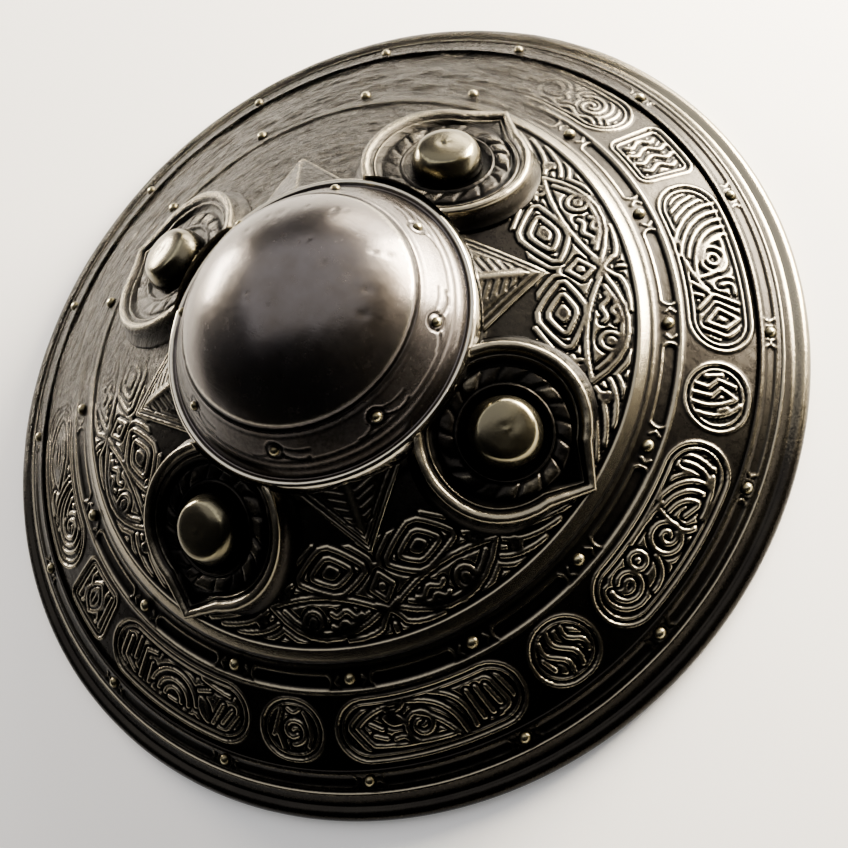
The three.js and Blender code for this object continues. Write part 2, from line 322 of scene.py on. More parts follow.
def lens(cx: float, cy: float, length: float, width: float, lean: float) -> list[Path]:
    """Pointed leaf of two curved sides and a midrib.

    Args:
        cx: middle, along.
        cy: middle, across.
        length: from tip to tip.
        width: pull of each side.
        lean: angle in degrees.

    Returns:
        Two sides and a midrib.
    """
    a = math.radians(lean)
    along = np.array([math.cos(a), math.sin(a)]) * length / 2
    side = np.array([-math.sin(a), math.cos(a)]) * width
    mid = np.array([cx, cy])
    tips = tuple(mid - along), tuple(mid + along)
    sides = [bend(tips[0], tuple(mid + s * side), tips[1]) for s in (-1, 1)]
    return [*sides, line(tuple(mid - 0.55 * along), tuple(mid + 0.55 * along))]


def sweeps(cx: float, cy: float, radii: Sequence[float], start: float, end: float) -> list[Path]:
    """Arcs side by side about one centre."""
    return [arc(cx, cy, radius, start, end, 0.8) for radius in radii]


def mirrored(paths: Sequence[Path]) -> list[Path]:
    """The same strokes, left for right."""
    return [path * np.array([-1, 1]) for path in paths]


class Motif(Enum):
    """What fills a field of the band."""

    LOOPS = "loops"
    HOOK = "hook"
    BARS = "bars"
    EYE = "eye"
    LEAF = "leaf"
    CURLS = "curls"
    FLAME = "flame"
    WAVES = "waves"
    HOOKS = "hooks"
    NEST = "nest"
    KNOT = "knot"


def motif_strokes(motif: Motif) -> list[Path]:
    """Strokes of a field, about its middle: x along the band, y away from the axis.

    Args:
        motif: which filling.

    Returns:
        Paths in millimetres.
    """
    match motif:
        case Motif.LOOPS:
            return [
                curl(-21, -1, 6.2, 3.4, 200, -330), ring(-12.5, -3.2, 3.1), ring(-0.5, 0.5, 5.4),
                curl(0.2, 0.6, 3.4, 1.0, 40, 380), bend((-17, 7.5), (-10, 8), (-7.5, 1)),
                bend((-9, -8.5), (0, -9), (9, -7)), bend((7, 7.4), (2, 5), (6.5, -6)),
                *sweeps(6, 4, (9, 12.4, 15.8), -78, 6), bend((21, 6), (27.5, 4), (26, -5)),
                bend((11, 8), (19, 8.2), (25, 6)), line((9, 2.5), (14, 5)),
            ]
        case Motif.HOOK:
            return [
                curl(-3.5, 1.2, 6.0, 2.0, 120, 500), line((-27, -1), (-22, 6), (-11, 7), (6, 7.6)),
                bend((-27, -1), (-21, -7.5), (-10, -8.2)), bend((8, 8), (3, -1), (-4, -3)),
                bend((10.5, 8), (9, -6.5), (-6, -8)), bend((14, 7.4), (15, -5.5), (3, -9)),
                line((17.5, 6), (15.5, -5)), line((21, 5.5), (19, -5)), line((24.5, 3.5), (22.5, -4)),
                *lens(-13, -2.5, 7, 3.4, 20), line((-21, 2.5), (-17, 4)), line((-22, -2), (-18, 0.5)),
                bend((-14, 4.5), (-10, 3), (-9, 6)), bend((-15, -6), (-10, -5), (-8, -8)),
            ]
        case Motif.BARS:
            return [
                line((-26, -4), (-26, 4), (-20, 7)), line((-21.5, -7), (-21.5, 2)),
                line((-17, 7), (-17, -5), (-12, -6.5)), line((-12.5, 6.5), (-12.5, -1.5)),
                arc(0, 5.5, 4, 180, 360), arc(0, 5.5, 7.4, 182, 358, 0.95),
                arc(0, 5.5, 11, 190, 350, 0.98), line((-1.6, 6), (1.8, 6)),
                *lens(14.5, 3, 9, 3.2, 60), line((19, 6.5), (22.5, -2)), line((23, 5), (26.5, -1)),
                bend((12, -8.5), (19, -7), (25, -6)), line((11, -3), (16, -5)),
            ]
        case Motif.EYE:
            return [
                ring(1.5, 1.5, 2.2), ring(1.5, 1.5, 5.2, 0.95), *lens(2.0, 0.5, 20, 9.5, 38)[:2],
                line((-26, 2), (-22, 7), (-18.5, -0.5), (-24, -5), (-26, 2)), line((-16, 7.4), (-13, -1)),
                bend((-12, 7), (-7, 8), (-9, 2)), line((-19, -7.5), (-13, -2), (-8, -8.5)),
                *sweeps(-4, 9, (15.5, 18.6, 21.8, 25.2, 28.6), -72, 2),
                bend((-11, -3), (-6, -8), (1, -8.8)), line((-13.6, -5.4), (-12.8, -8)),
            ]
        case Motif.LEAF:
            return [
                *lens(-12, 0, 26, 9, 8), *lens(-12, 0, 20, 5.4, 8)[:2], bend((3, -7), (6, 5), (13, 7)),
                bend((7, -8), (11, 2), (18, 3)), curl(20, -2, 5.6, 1.6, 150, -420),
                bend((1, 6), (3, 9), (9, 8)),
            ]
        case Motif.CURLS:
            return [
                curl(-18, 0, 7, 1.5, 30, 420), curl(0, 0, 7.4, 1.5, 210, 420),
                curl(18, 0, 7, 1.5, 30, 420), wave((-26, -7), (26, -7.5), 1, 5),
            ]
        case Motif.FLAME:
            return [
                bend((-7, -6), (-8, 3), (-1, 8.5)), bend((-3.5, -8.2), (-5, -1), (1, 7)),
                line((0, -8.8), (0, -2), (3.5, 1), (1, 7)), line((3.4, -7.5), (3, -3.5), (6.4, -0.5), (5, 6)),
                line((6.8, -5), (8.4, 1)), line((-4.5, 1.5), (-3, 4.5)),
            ]
        case Motif.WAVES:
            return [
                wave((-6, -6.5), (-1.5, 8), 1.6, 1), wave((-1.5, -8.4), (2.5, 7.6), 1.8, 1),
                wave((4, -7), (7, 5), 1.5, 1), line((-8, -1), (-6.4, 4)),
            ]
        case Motif.HOOKS:
            return [
                curl(0.4, 0.6, 5.2, 2.0, 90, -400), line((-7.6, 3), (-4.6, -7)),
                line((-3.6, 7.5), (-6.5, 0)), bend((6, 6), (8.6, 0), (4.6, -6.6)),
                bend((-2, -7.6), (0.5, -5), (3, -8)),
            ]
        case Motif.NEST:
            return [
                *lens(0, 0, 15, 10, 90), *lens(0, 0, 9, 5.4, 90)[:2], line((-8, -7.5), (-8, 7.5)),
                line((8, -7.5), (8, 7.5)), wave((-5.4, -7.6), (-5.4, 7.6), 0.6, 2),
                wave((5.4, -7.6), (5.4, 7.6), 0.6, 2),
            ]
        case _:
            return [
                wave((-6, -7), (-6, 7), 1.1, 1.5), wave((-1.6, -8), (-1.6, 8), 1.2, 1.5),
                wave((2.8, -8), (2.8, 8), 1.2, 1.5), wave((7, -6.5), (7, 6.5), 1.0, 1.5),
            ]


# ---------------------------------------------------------------- carving


def distance_to(path: Path, x: Array, y: Array) -> Array:
    """Distance from each point of a patch to a run of strokes.

    Args:
        path: points joined by straight strokes.
        x: first coordinate over the patch.
        y: second coordinate over the patch.

    Returns:
        Shortest distances, shaped like the patch.
    """
    nearest = np.full(x.shape, np.inf)
    for a, b in zip(path[:-1], path[1:]):
        way = b - a
        length = max(float(way @ way), 1e-9)
        t = np.clip(((x - a[0]) * way[0] + (y - a[1]) * way[1]) / length, 0, 1)
        gap = np.hypot(x - a[0] - t * way[0], y - a[1] - t * way[1])
        nearest = np.minimum(nearest, gap)
    return nearest


def bar(distance: Array, half: float, flat: int = 2) -> Array:
    """Section of a raised line, 1 at its middle and 0 at its edge; a higher power is flatter."""
    return np.sqrt(np.clip(1 - (distance / half) ** flat, 0, 1))


def stand_on(height: Array, section: Array, low: float, rise: float) -> Array:
    """Relief with a raised line added where the line's section is above nothing.

    Args:
        height: relief so far.
        section: the line's section, 1 at its middle and 0 beyond its edge.
        low: height of the ground that it stands on.
        rise: height of its crown above that ground.

    Returns:
        The new relief.
    """
    return np.maximum(height, np.where(section > 0, low + rise * section, -np.inf))


@dataclass
class Carving:
    """Relief over a patch of surface, built up stroke by stroke.

    Args:
        x: first coordinate over the patch, in millimetres.
        y: second coordinate over the patch.
        height: relief so far, changed in place.
    """

    x: Array
    y: Array
    height: Array

    def __post_init__(self) -> None:
        """Start with no strokes anywhere near."""
        self.nearest = np.full(self.x.shape, 99.0)

    def near(self, path: Path, margin: float) -> Array:
        """Which points lie in a path's box, widened by a margin."""
        low, high = path.min(0) - margin, path.max(0) + margin
        return (self.x > low[0]) & (self.x < high[0]) & (self.y > low[1]) & (self.y < high[1])

    def raise_line(self, path: Path, half: float, top: float, floor: float) -> None:
        """Stand a flat-topped ribbon on a sunk floor.

        Args:
            path: middle of the line.
            half: half its width.
            top: height of its crown.
            floor: height of the ground it stands on.
        """
        inside = self.near(path, CONTOUR_REACH)
        if not inside.any():
            return
        gap = distance_to(path, self.x[inside], self.y[inside])
        self.nearest[inside] = np.minimum(self.nearest[inside], gap)
        self.height[inside] = stand_on(self.height[inside], bar(gap, half, 4), floor, top - floor)

    def contour(self, where: Array, pitch: float, half: float, top: float, floor: float) -> None:
        """Fill bare ground with ribbons that follow the strokes side by side.

        Args:
            where: true on the ground to fill.
            pitch: distance from one ribbon to the next.
            half: half a ribbon's width.
            top: height of a ribbon's crown.
            floor: height of the ground.
        """
        order = np.round(self.nearest / pitch)
        crown = bar(np.abs(self.nearest - order * pitch), half, 4)
        filled = where & (order > 0) & (self.nearest < CONTOUR_REACH) & (crown > 0)
        lifted = floor + (top - floor) * crown
        self.height[filled] = np.maximum(self.height[filled], lifted[filled])

    def cut_line(self, path: Path, half: float, depth: float) -> None:
        """Cut a rounded groove along a path.

        Args:
            path: middle of the groove.
            half: half its width.
            depth: depth of its middle.
        """
        inside = self.near(path, half)
        if inside.any():
            cut = bar(distance_to(path, self.x[inside], self.y[inside]), half)
            self.height[inside] -= depth * cut


def pill(x: Array, y: Array, half_x: float, half_y: float, corner: float) -> Array:
    """Signed distance from a rounded box.

    Args:
        x: first coordinate over the patch.
        y: second coordinate over the patch.
        half_x: half its length.
        half_y: half its width.
        corner: radius of its corners.

    Returns:
        Distances, negative inside.
    """
    px, py = np.abs(x) - half_x + corner, np.abs(y) - half_y + corner
    outside = np.hypot(np.maximum(px, 0), np.maximum(py, 0))
    return outside + np.minimum(np.maximum(px, py), 0) - corner


# ---------------------------------------------------------------- meshes


def lattice_quads(rows: int, columns: int, start: int = 0) -> Array:
    """Quads of a grid that closes on itself along its columns.

    Args:
        rows: number of rings.
        columns: points to a ring.
        start: index of the grid's first point.

    Returns:
        (n, 4) point indices, facing out where rings run outwards and turn counter-clockwise.
    """
    i = np.arange(rows - 1)[:, None]
    j = np.arange(columns)[None, :]
    k = (j + 1) % columns
    corners = [i * columns + j, (i + 1) * columns + j, (i + 1) * columns + k, i * columns + k]
    return start + np.stack([np.broadcast_to(c, (rows - 1, columns)) for c in corners], -1).reshape(-1, 4)


def zip_rings(first: Array, second: Array, first_angle: Array, second_angle: Array) -> Array:
    """Triangles between two rings with different numbers of points.

    Args:
        first: indices of the inner ring, counter-clockwise.
        second: indices of the outer ring, counter-clockwise.
        first_angle: rising angle of each inner point.
        second_angle: rising angle of each outer point.

    Returns:
        (n, 3) point indices.
    """
    triangles = []
    i = j = 0
    n, m = len(first), len(second)
    ahead = np.append(first_angle, first_angle[0] + TURN)
    behind = np.append(second_angle, second_angle[0] + TURN)
    while i < n or j < m:
        if j >= m or (i < n and ahead[i + 1] <= behind[j + 1]):
            triangles.append((first[i], second[j % m], first[(i + 1) % n]))
            i += 1
        else:
            triangles.append((first[i % n], second[j], second[(j + 1) % m]))
            j += 1
    return np.array(triangles)


def make_piece(
    name: str, points: Array, quads: Array, triangles: Array, rub_and_painted_light: Array | None
) -> bpy.types.Object:
    """Turn points and faces into a smooth-shaded object.

    Args:
        name: the object's name.
        points: (n, 3) places in millimetres.
        quads: (n, 4) point indices.
        triangles: (n, 3) point indices.
        rub_and_painted_light: for each point, 0 in a hollow, 0.5 on plain metal and 1 on a rubbed edge; on
            the rim's bead and the boss's cove it also holds painted highlight and painted shade.

    Returns:
        The object, linked to the scene.
    """
    mesh = bpy.data.meshes.new(name)
    loops = np.concatenate([quads.reshape(-1), triangles.reshape(-1)]).astype(np.int32)
    sizes = np.concatenate([np.full(len(quads), 4), np.full(len(triangles), 3)])
    starts = np.concatenate([[0], np.cumsum(sizes)[:-1]]).astype(np.int32)
    mesh.vertices.add(len(points))
    mesh.vertices.foreach_set("co", (points * MM).astype(np.float32).ravel())
    mesh.loops.add(len(loops))
    mesh.loops.foreach_set("vertex_index", loops)
    mesh.polygons.add(len(sizes))
    mesh.polygons.foreach_set("loop_start", starts)
    mesh.polygons.foreach_set("use_smooth", np.ones(len(sizes), bool))
    layer = mesh.attributes.new("rub_and_painted_light", "FLOAT", "POINT")
    layer.data.foreach_set("value", (np.full(len(points), 0.5) if rub_and_painted_light is None else rub_and_painted_light).astype(np.float32))
    mesh.update(calc_edges=True)
    mesh.validate()
    piece = bpy.data.objects.new(name, mesh)
    bpy.context.scene.collection.objects.link(piece)
    return piece


def finish_piece(piece: bpy.types.Object, material: bpy.types.Material, slot: str, *nodes: str) -> None:
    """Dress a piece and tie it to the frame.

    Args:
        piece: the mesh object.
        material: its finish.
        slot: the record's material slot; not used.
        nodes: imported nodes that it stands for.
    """
    piece.data.materials.append(material)
    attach(piece, "root")
    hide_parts(*nodes)
    triangles = sum(len(face.vertices) - 2 for face in piece.data.polygons)
    LOG.info("%s: %d triangles, stands for %s", piece.name, triangles, ", ".join(nodes))


def spread_angles(weight: Callable[[Array], Array], count: int) -> Array:
    """Angles round the axis, packed closely where a weight is high.

    Args:
        weight: wanted density at an angle.
        count: number of angles.

    Returns:
        Rising angles in one turn.
    """
    fine = np.linspace(0, TURN, 7201)
    density = weight(0.5 * (fine[1:] + fine[:-1]))
    total = np.concatenate([[0], np.cumsum(density)])
    return np.interp(np.arange(count) * total[-1] / count, total, fine)


def spread_rows(stops: Sequence[tuple[float, float, float]]) -> Array:
    """Positions across a surface.

    Args:
        stops: runs as (from, to, step).

    Returns:
        Rising positions that include every end.
    """
    parts = [np.linspace(a, b, max(1, round((b - a) / step)), endpoint=False) for a, b, step in stops]
    return np.concatenate([*parts, [stops[-1][1]]])


def soften(height: Array, rounds: int) -> Array:
    """Average each point with its neighbours, closing round the turn.

    Args:
        height: relief.
        rounds: number of times.

    Returns:
        The smoothed relief.
    """
    blurred = height.copy()
    for _ in range(rounds):
        blurred = (np.roll(blurred, 1, 1) + blurred + np.roll(blurred, -1, 1)) / 3
        padded = np.pad(blurred, ((1, 1), (0, 0)), mode="edge")
        blurred = (padded[:-2] + padded[1:-1] + padded[2:]) / 3
    return blurred


def rubbed(height: Array, rounds: int = 7, gain: float = 1.1) -> Array:
    """Where handling has rubbed the metal: high where relief stands above its surroundings."""
    return np.clip(0.5 + gain * (height - soften(height, rounds)), 0, 1)


@dataclass
class Turned:
    """A turned shell: a finely carved face, closed behind by a plainer back.

    Args:
        name: piece name.
        angles: directions of the face's columns.
        face_r: (rows, columns) distance from the axis.
        face_z: (rows, columns) height.
        back: section behind the face, from its outer end back to its inner end, as (r, z).
        rub_and_painted_light: (rows, columns) wear of the face, with painted highlight and painted shade on
            the rim's bead and the boss's cove.
        back_columns: columns of the back.
        capped: the inner end closes on the axis, in front and behind.
        roughen: depth of the hammer dents behind.
    """

    name: str
    angles: Array
    face_r: Array
    face_z: Array
    back: Sequence[tuple[float, float]]
    rub_and_painted_light: Array
    back_columns: int = 96
    capped: bool = False
    roughen: float = 0.0

    def build(self) -> bpy.types.Object:
        """Join the face and the back into one closed mesh.

        Returns:
            The object.
        """
        rows, columns = self.face_r.shape
        face_x, face_y = self.face_r * np.cos(self.angles), self.face_r * np.sin(self.angles)
        face = np.stack([face_x, face_y, self.face_z], -1)
        section = np.array(self.back)
        turns = np.arange(self.back_columns) * TURN / self.back_columns
        depth = np.repeat(section[:, 1:], self.back_columns, 1)
        inner = slice(1, -1)
        dents = Grain(41).around(turns[None, :], section[:, :1] + 0 * turns, 14, 1.2, 3)
        depth[inner] += (self.roughen * dents * np.clip(section[:, :1] / 20, 0, 1))[inner]
        behind = np.stack(
            [section[:, :1] * np.cos(turns), section[:, :1] * np.sin(turns), depth], -1
        )
        points = np.concatenate([face.reshape(-1, 3), behind.reshape(-1, 3)])
        start = rows * columns
        back_rows = len(section)
        quads = [lattice_quads(rows, columns), lattice_quads(back_rows, self.back_columns, start)]
        last_face = np.arange(columns) + (rows - 1) * columns
        first_back = start + np.arange(self.back_columns)
        triangles = [zip_rings(last_face, first_back, self.angles, turns)]
        first_face = np.arange(columns)
        last_back = start + (back_rows - 1) * self.back_columns + np.arange(self.back_columns)
        if self.capped:
            poles = len(points) + np.array([0, 1])
            tops = [[0, 0, float(self.face_z[0].mean())], [0, 0, section[-1, 1]]]
            points = np.concatenate([points, tops])
            following = np.roll(first_face, -1)
            triangles.append(np.stack([np.full(columns, poles[0]), first_face, following], 1))
            following = np.roll(last_back, -1)
            triangles.append(np.stack([last_back, np.full(self.back_columns, poles[1]), following], 1))
        else:
            triangles.append(zip_rings(last_back, first_face, turns, self.angles))
        rub_and_painted_light = np.full(len(points), 0.64)
        rub_and_painted_light[:start] = self.rub_and_painted_light.ravel()
        return make_piece(self.name, points, np.concatenate(quads), np.concatenate(triangles), rub_and_painted_light)


def outward(section: Array) -> Array:
    """Unit normals of a section, one for each of its (r, z) rows.

    Args:
        section: rows that run outwards.

    Returns:
        (rows, 2) normals.
    """
    steps = np.gradient(section, axis=0)
    normal = np.stack([-steps[:, 1], steps[:, 0]], 1)
    return normal / np.hypot(*normal.T)[:, None]


def domed_head(
    size: tuple[float, float], uneven: Array, arcs: Array, foot: float, place: Matrix
) -> tuple[Array, tuple[Array, Array]]:
    """Low domed head of a rivet, where it stands.

    Args:
        size: its radius and its rise.
        uneven: share of the radius at each column.
        arcs: angle from the crown at each ring.
        foot: height of its underside.
        place: its lean and position.

    Returns:
        (rows, columns, 3) places, and the points that close the crown and the foot.
    """
    radius, rise = size
    angles = np.arange(len(uneven)) * TURN / len(uneven)
    rings = []
    for t in arcs:
        r = radius * math.sin(t) * uneven
        z = np.full(len(uneven), FIT_GAP + rise * math.cos(t))
        rings.append(np.stack([r * np.cos(angles), r * np.sin(angles), z], -1))
    rings.append(rings[-1] * np.array([1, 1, 0]) + np.array([0, 0, foot]))
    basis = np.array(place)
    poles = np.array([[0, 0, FIT_GAP + rise], [0, 0, foot]])
    spun, ends = (part @ basis[:3, :3].T + basis[:3, 3] for part in (np.array(rings), poles))
    return spun, tuple(ends)


def rings_piece(
    name: str, rings: Array, poles: tuple[Array, Array] | None, rub_and_painted_light: Array | None
) -> bpy.types.Object:
    """Closed skin over rings of points.

    Args:
        name: piece name.
        rings: (rows, columns, 3) places; rings turn counter-clockwise and run outwards, then back.
        poles: points that close the first and the last ring, or None to join the last to the first.
        rub_and_painted_light: (rows, columns) wear, or None.

    Returns:
        The object.
    """
    rows, columns = rings.shape[:2]
    points = rings.reshape(-1, 3)
    wear = None if rub_and_painted_light is None else rub_and_painted_light.ravel()
    quads = lattice_quads(rows, columns)
    near, far = np.arange(columns), np.arange(columns) + (rows - 1) * columns
    if poles is None:
        joint = np.stack([far, near, np.roll(near, -1), np.roll(far, -1)], 1)
        return make_piece(name, points, np.concatenate([quads, joint]), np.zeros((0, 3), int), wear)
    first, last = len(points), len(points) + 1
    points = np.concatenate([points, np.array(poles)])
    fans = [
        np.stack([np.full(columns, first), near, np.roll(near, -1)], 1),
        np.stack([far, np.full(columns, last), np.roll(far, -1)], 1),
    ]
    if wear is not None:
        wear = np.append(wear, [wear[:columns].mean(), wear[-columns:].mean()])
    return make_piece(name, points, quads, np.concatenate(fans), wear)


# ---------------------------------------------------------------- materials


def linear(code: str, alpha: float = 1.0) -> tuple[float, float, float, float]:
    """Linear colour of an sRGB hex code.

    Args:
        code: the code, with its hash.
        alpha: opacity.

    Returns:
        Linear red, green and blue, and the opacity.
    """
    parts = [int(code[i : i + 2], 16) / 255 for i in (1, 3, 5)]
    r, g, b = [c / 12.92 if c <= 0.04045 else ((c + 0.055) / 1.055) ** 2.4 for c in parts]
    return r, g, b, alpha


def add_node(
    tree: bpy.types.NodeTree,
    kind: str,
    links: dict | None = None,
    stops: Sequence[tuple[float, str]] = (),
    **settings: object,
) -> bpy.types.Node:
    """Add a node with its settings and incoming links.

    Args:
        tree: where it goes.
        kind: the node's type name.
        links: input name or number to either an output socket or a plain value.
        stops: positions and sRGB codes, for a node with a colour ramp.
        settings: properties of the node itself.

    Returns:
        The node.
    """
    node = tree.nodes.new(kind)
    for key, value in settings.items():
        setattr(node, key, value)
    for key, value in (links or {}).items():
        if isinstance(value, bpy.types.NodeSocket):
            tree.links.new(value, node.inputs[key])
        else:
            node.inputs[key].default_value = value
    if stops:
        band = node.color_ramp
        while len(band.elements) < len(stops):
            band.elements.new(1.0)
        for element, (position, code) in zip(band.elements, stops):
            element.position = position
            element.color = linear(code)
    return node


def per_metre(millimetres: float) -> float:
    """Noise scale whose features are about this size."""
    return 1 / (millimetres * MM)


@dataclass(frozen=True)
class Metal:
    """A worked metal whose hollows stay dark and whose edges are rubbed bright.

    Args:
        name: the finish.
        hollow: sRGB colour in the hollows.
        plain: sRGB colour of open metal.
        warm: second sRGB colour that clouds the open metal.
        edge: sRGB colour of rubbed edges.
        rough: roughness of open metal.
        edge_rough: roughness of rubbed edges.
        grain_mm: size of the surface grain.
        grain_high: height of the grain in millimetres.
        pit_mm: size of hammer marks and pits, deepest where the face is worn.
        pit_high: height of the pits in millimetres.
        scratch: strength of fine scratches.
        streak: how strongly the worn part is streaked round the turn.
        streak_high: height of the streaks in millimetres.
        scoured_low: sRGB colour between the streaks.
        scoured_high: sRGB colour on the streaks.
    """

    name: str
    hollow: str
    plain: str
    warm: str
    edge: str
    rough: float
    edge_rough: float
    grain_mm: float = 0.9
    grain_high: float = 0.05
    pit_mm: float = 3.0
    pit_high: float = 0.0
    scratch: float = 0.0
    streak: float = 0.0
    streak_high: float = 2.4
    scoured_low: str = "#010101"
    scoured_high: str = "#35322d"

    def build(self) -> bpy.types.Material:
        """Make the node material.

        Returns:
            The material.
        """
        material = bpy.data.materials.new(self.name)
        material.use_nodes = True
        tree = material.node_tree
        shader = tree.nodes["Principled BSDF"]
        shader.inputs["Metallic"].default_value = 1.0
        place = add_node(tree, "ShaderNodeTexCoord").outputs["Object"]
        rub_and_painted_light = add_node(tree, "ShaderNodeAttribute", attribute_name="rub_and_painted_light").outputs["Fac"]
        faded = add_node(tree, "ShaderNodeAttribute", attribute_name="worn").outputs["Fac"]
        cloud, grain, pits = [
            add_node(
                tree,
                "ShaderNodeTexNoise",
                {"Vector": place, "Scale": per_metre(size), "Detail": detail, "Roughness": rough},
            ).outputs["Fac"]
            for size, detail, rough in (
                (26.0, 5.0, 0.6), (self.grain_mm, 4.0, 0.65), (self.pit_mm, 6.0, 0.7),
            )
        ]
        ragged = add_node(
            tree, "ShaderNodeMath", {0: grain, 1: 0.28, 2: -0.14}, operation="MULTIPLY_ADD"
        ).outputs[0]
        wear = add_node(
            tree, "ShaderNodeMath", {0: rub_and_painted_light, 1: ragged}, operation="ADD", use_clamp=True
        ).outputs[0]
        black, white = "#000000", "#ffffff"
        colour = linear(self.plain)
        for factor, low, high, code in (
            (cloud, (0.35, black), (0.68, white), self.warm),
            (wear, (0.18, white), (0.46, black), self.hollow),
            (wear, (0.58, black), (0.86, white), self.edge),
        ):
            share = add_node(tree, "ShaderNodeValToRGB", {"Fac": factor}, stops=(low, high))
            colour = add_node(
                tree,
                "ShaderNodeMix",
                {0: share.outputs["Color"], 6: colour, 7: linear(code)},
                data_type="RGBA",
            ).outputs[2]
        streaks = self.streaks(tree, place) if self.streak > 0 else None
        if streaks is not None:
            shown = add_node(
                tree, "ShaderNodeValToRGB", {"Fac": streaks}, stops=((0.42, black), (0.58, white))
            ).outputs["Color"]
            share = add_node(
                tree, "ShaderNodeMath", {0: faded, 1: self.streak}, operation="MULTIPLY"
            ).outputs[0]
            scoured = add_node(
                tree,
                "ShaderNodeMix",
                {0: shown, 6: linear(self.scoured_low), 7: linear(self.scoured_high)},
                data_type="RGBA",
            ).outputs[2]
            colour = add_node(
                tree, "ShaderNodeMix", {0: share, 6: colour, 7: scoured}, data_type="RGBA"
            ).outputs[2]
        tree.links.new(colour, shader.inputs["Base Color"])
        rough = add_node(
            tree,
            "ShaderNodeMapRange",
            {0: wear, 1: 0.25, 2: 0.85, 3: self.rough + 0.1, 4: self.edge_rough},
        ).outputs[0]
        patchy = add_node(
            tree, "ShaderNodeMath", {0: pits, 1: 0.14, 2: -0.07}, operation="MULTIPLY_ADD"
        ).outputs[0]
        uneven = add_node(
            tree, "ShaderNodeMath", {0: rough, 1: patchy}, operation="ADD", use_clamp=True
        ).outputs[0]
        tree.links.new(uneven, shader.inputs["Roughness"])
        depth = add_node(
            tree, "ShaderNodeMath", {0: faded, 1: 0.85, 2: 0.15}, operation="MULTIPLY_ADD"
        ).outputs[0]
        first = add_node(
            tree, "ShaderNodeBump", {"Height": grain, "Distance": self.grain_high * MM, "Strength": 1.0}
        ).outputs[0]
        surface = add_node(
            tree,
            "ShaderNodeBump",
            {"Height": pits, "Distance": self.pit_high * MM, "Strength": depth, "Normal": first},
        ).outputs[0]
        if self.scratch > 0:
            surface = self.scratches(tree, place, surface)
        if streaks is not None:
            surface = add_node(
                tree,
                "ShaderNodeBump",
                {"Height": streaks, "Distance": self.streak_high * MM, "Strength": faded, "Normal": surface},
            ).outputs[0]
        tree.links.new(surface, shader.inputs["Normal"])
        return material

    def streaks(self, tree: bpy.types.NodeTree, place: bpy.types.NodeSocket) -> bpy.types.NodeSocket:
        """Hammer streaks round the turn: 1.3 mm across, and 9 mm long at a radius of 120 mm.

        Args:
            tree: where they go.
            place: position on the piece.

        Returns:
            Their height.
        """
        parts = add_node(tree, "ShaderNodeSeparateXYZ", {0: place}).outputs
        turn = add_node(
            tree, "ShaderNodeMath", {0: parts[1], 1: parts[0]}, operation="ARCTAN2"
        ).outputs[0]
        radius = add_node(tree, "ShaderNodeVectorMath", {0: place}, operation="LENGTH").outputs["Value"]
        across, along = [
            add_node(tree, "ShaderNodeMath", {0: way, 1: scale}, operation="MULTIPLY").outputs[0]
            for way, scale in ((radius, per_metre(1.3)), (turn, 120 / 9))
        ]
        drawn = add_node(tree, "ShaderNodeCombineXYZ", {0: along, 1: across}).outputs[0]
        return add_node(
            tree, "ShaderNodeTexNoise", {"Vector": drawn, "Scale": 1.0, "Detail": 6.0, "Roughness": 0.68}
        ).outputs["Fac"]

    def scratches(
        self, tree: bpy.types.NodeTree, place: bpy.types.NodeSocket, under: bpy.types.NodeSocket
    ) -> bpy.types.NodeSocket:
        """Fine scratches, 0.8 mm apart and 30 mm long, drawn coarser than real ones.

        Args:
            tree: where they go.
            place: position on the piece.
            under: the surface that they are cut in.

        Returns:
            The surface with its scratches.
        """
        fine, long = per_metre(0.8), per_metre(30)
        drawn = add_node(
            tree,
            "ShaderNodeMapping",
            {"Vector": place, "Rotation": (0.3, 0.5, 0.9), "Scale": (fine, long, fine)},
        ).outputs[0]
        lines = add_node(
            tree, "ShaderNodeTexNoise", {"Vector": drawn, "Scale": 1.0, "Detail": 3.0, "Roughness": 0.6}
        ).outputs["Fac"]
        cut = add_node(
            tree, "ShaderNodeValToRGB", {"Fac": lines}, stops=((0.36, "#000000"), (0.44, "#ffffff"))
        ).outputs["Color"]
        return add_node(
            tree,
            "ShaderNodeBump",
            {"Height": cut, "Distance": 0.012 * MM, "Strength": self.scratch, "Normal": under},
        ).outputs[0]


# Wrought iron, hammered and blackened in oil: near black in the hollows, cream where it is rubbed.
BLACKENED_IRON = Metal(
    "blackened_wrought_iron", "#030303", "#1c1a18", "#24221e", "#847d6b", 0.22, 0.22,
    grain_high=0.03, pit_mm=2.2, pit_high=0.6, streak=0.9,
)
# Polished iron, worn smooth by hand: a cool grey with brown clouds, soft broad reflections.
POLISHED_IRON = Metal(
    "hand_polished_iron", "#0a0908", "#5b5756", "#4b453f", "#b9b2a0", 0.22, 0.16,
    grain_mm=1.4, grain_high=0.02, pit_mm=7.0, pit_high=0.10, scratch=0.5,
)
# Knobs of the same iron, browner and a little brassy where fingers have rubbed them.
KNOB_IRON = Metal(
    "rubbed_brown_iron", "#0a0906", "#565244", "#5f5a47", "#a79f7e", 0.18, 0.16,
    grain_mm=1.2, grain_high=0.02, pit_mm=5.0, pit_high=0.15, scratch=0.3,
)
# Brass rivet heads, dull and oxidised brown round the foot, pale on the crown.
DULL_BRASS = Metal(
    "dull_brass", "#0d0b07", "#5f5843", "#544d39", "#b5ad8b", 0.3, 0.22, grain_mm=0.6, grain_high=0.03
)
# Plain hammered iron of the hollow side, scaled and rough, hardly rubbed.
HAMMERED_IRON = Metal(
    "hammered_black_iron", "#12100e", "#3a3733", "#3d342c", "#77705f", 0.5, 0.4,
    grain_mm=1.1, grain_high=0.12, pit_mm=5.0, pit_high=0.4,
)


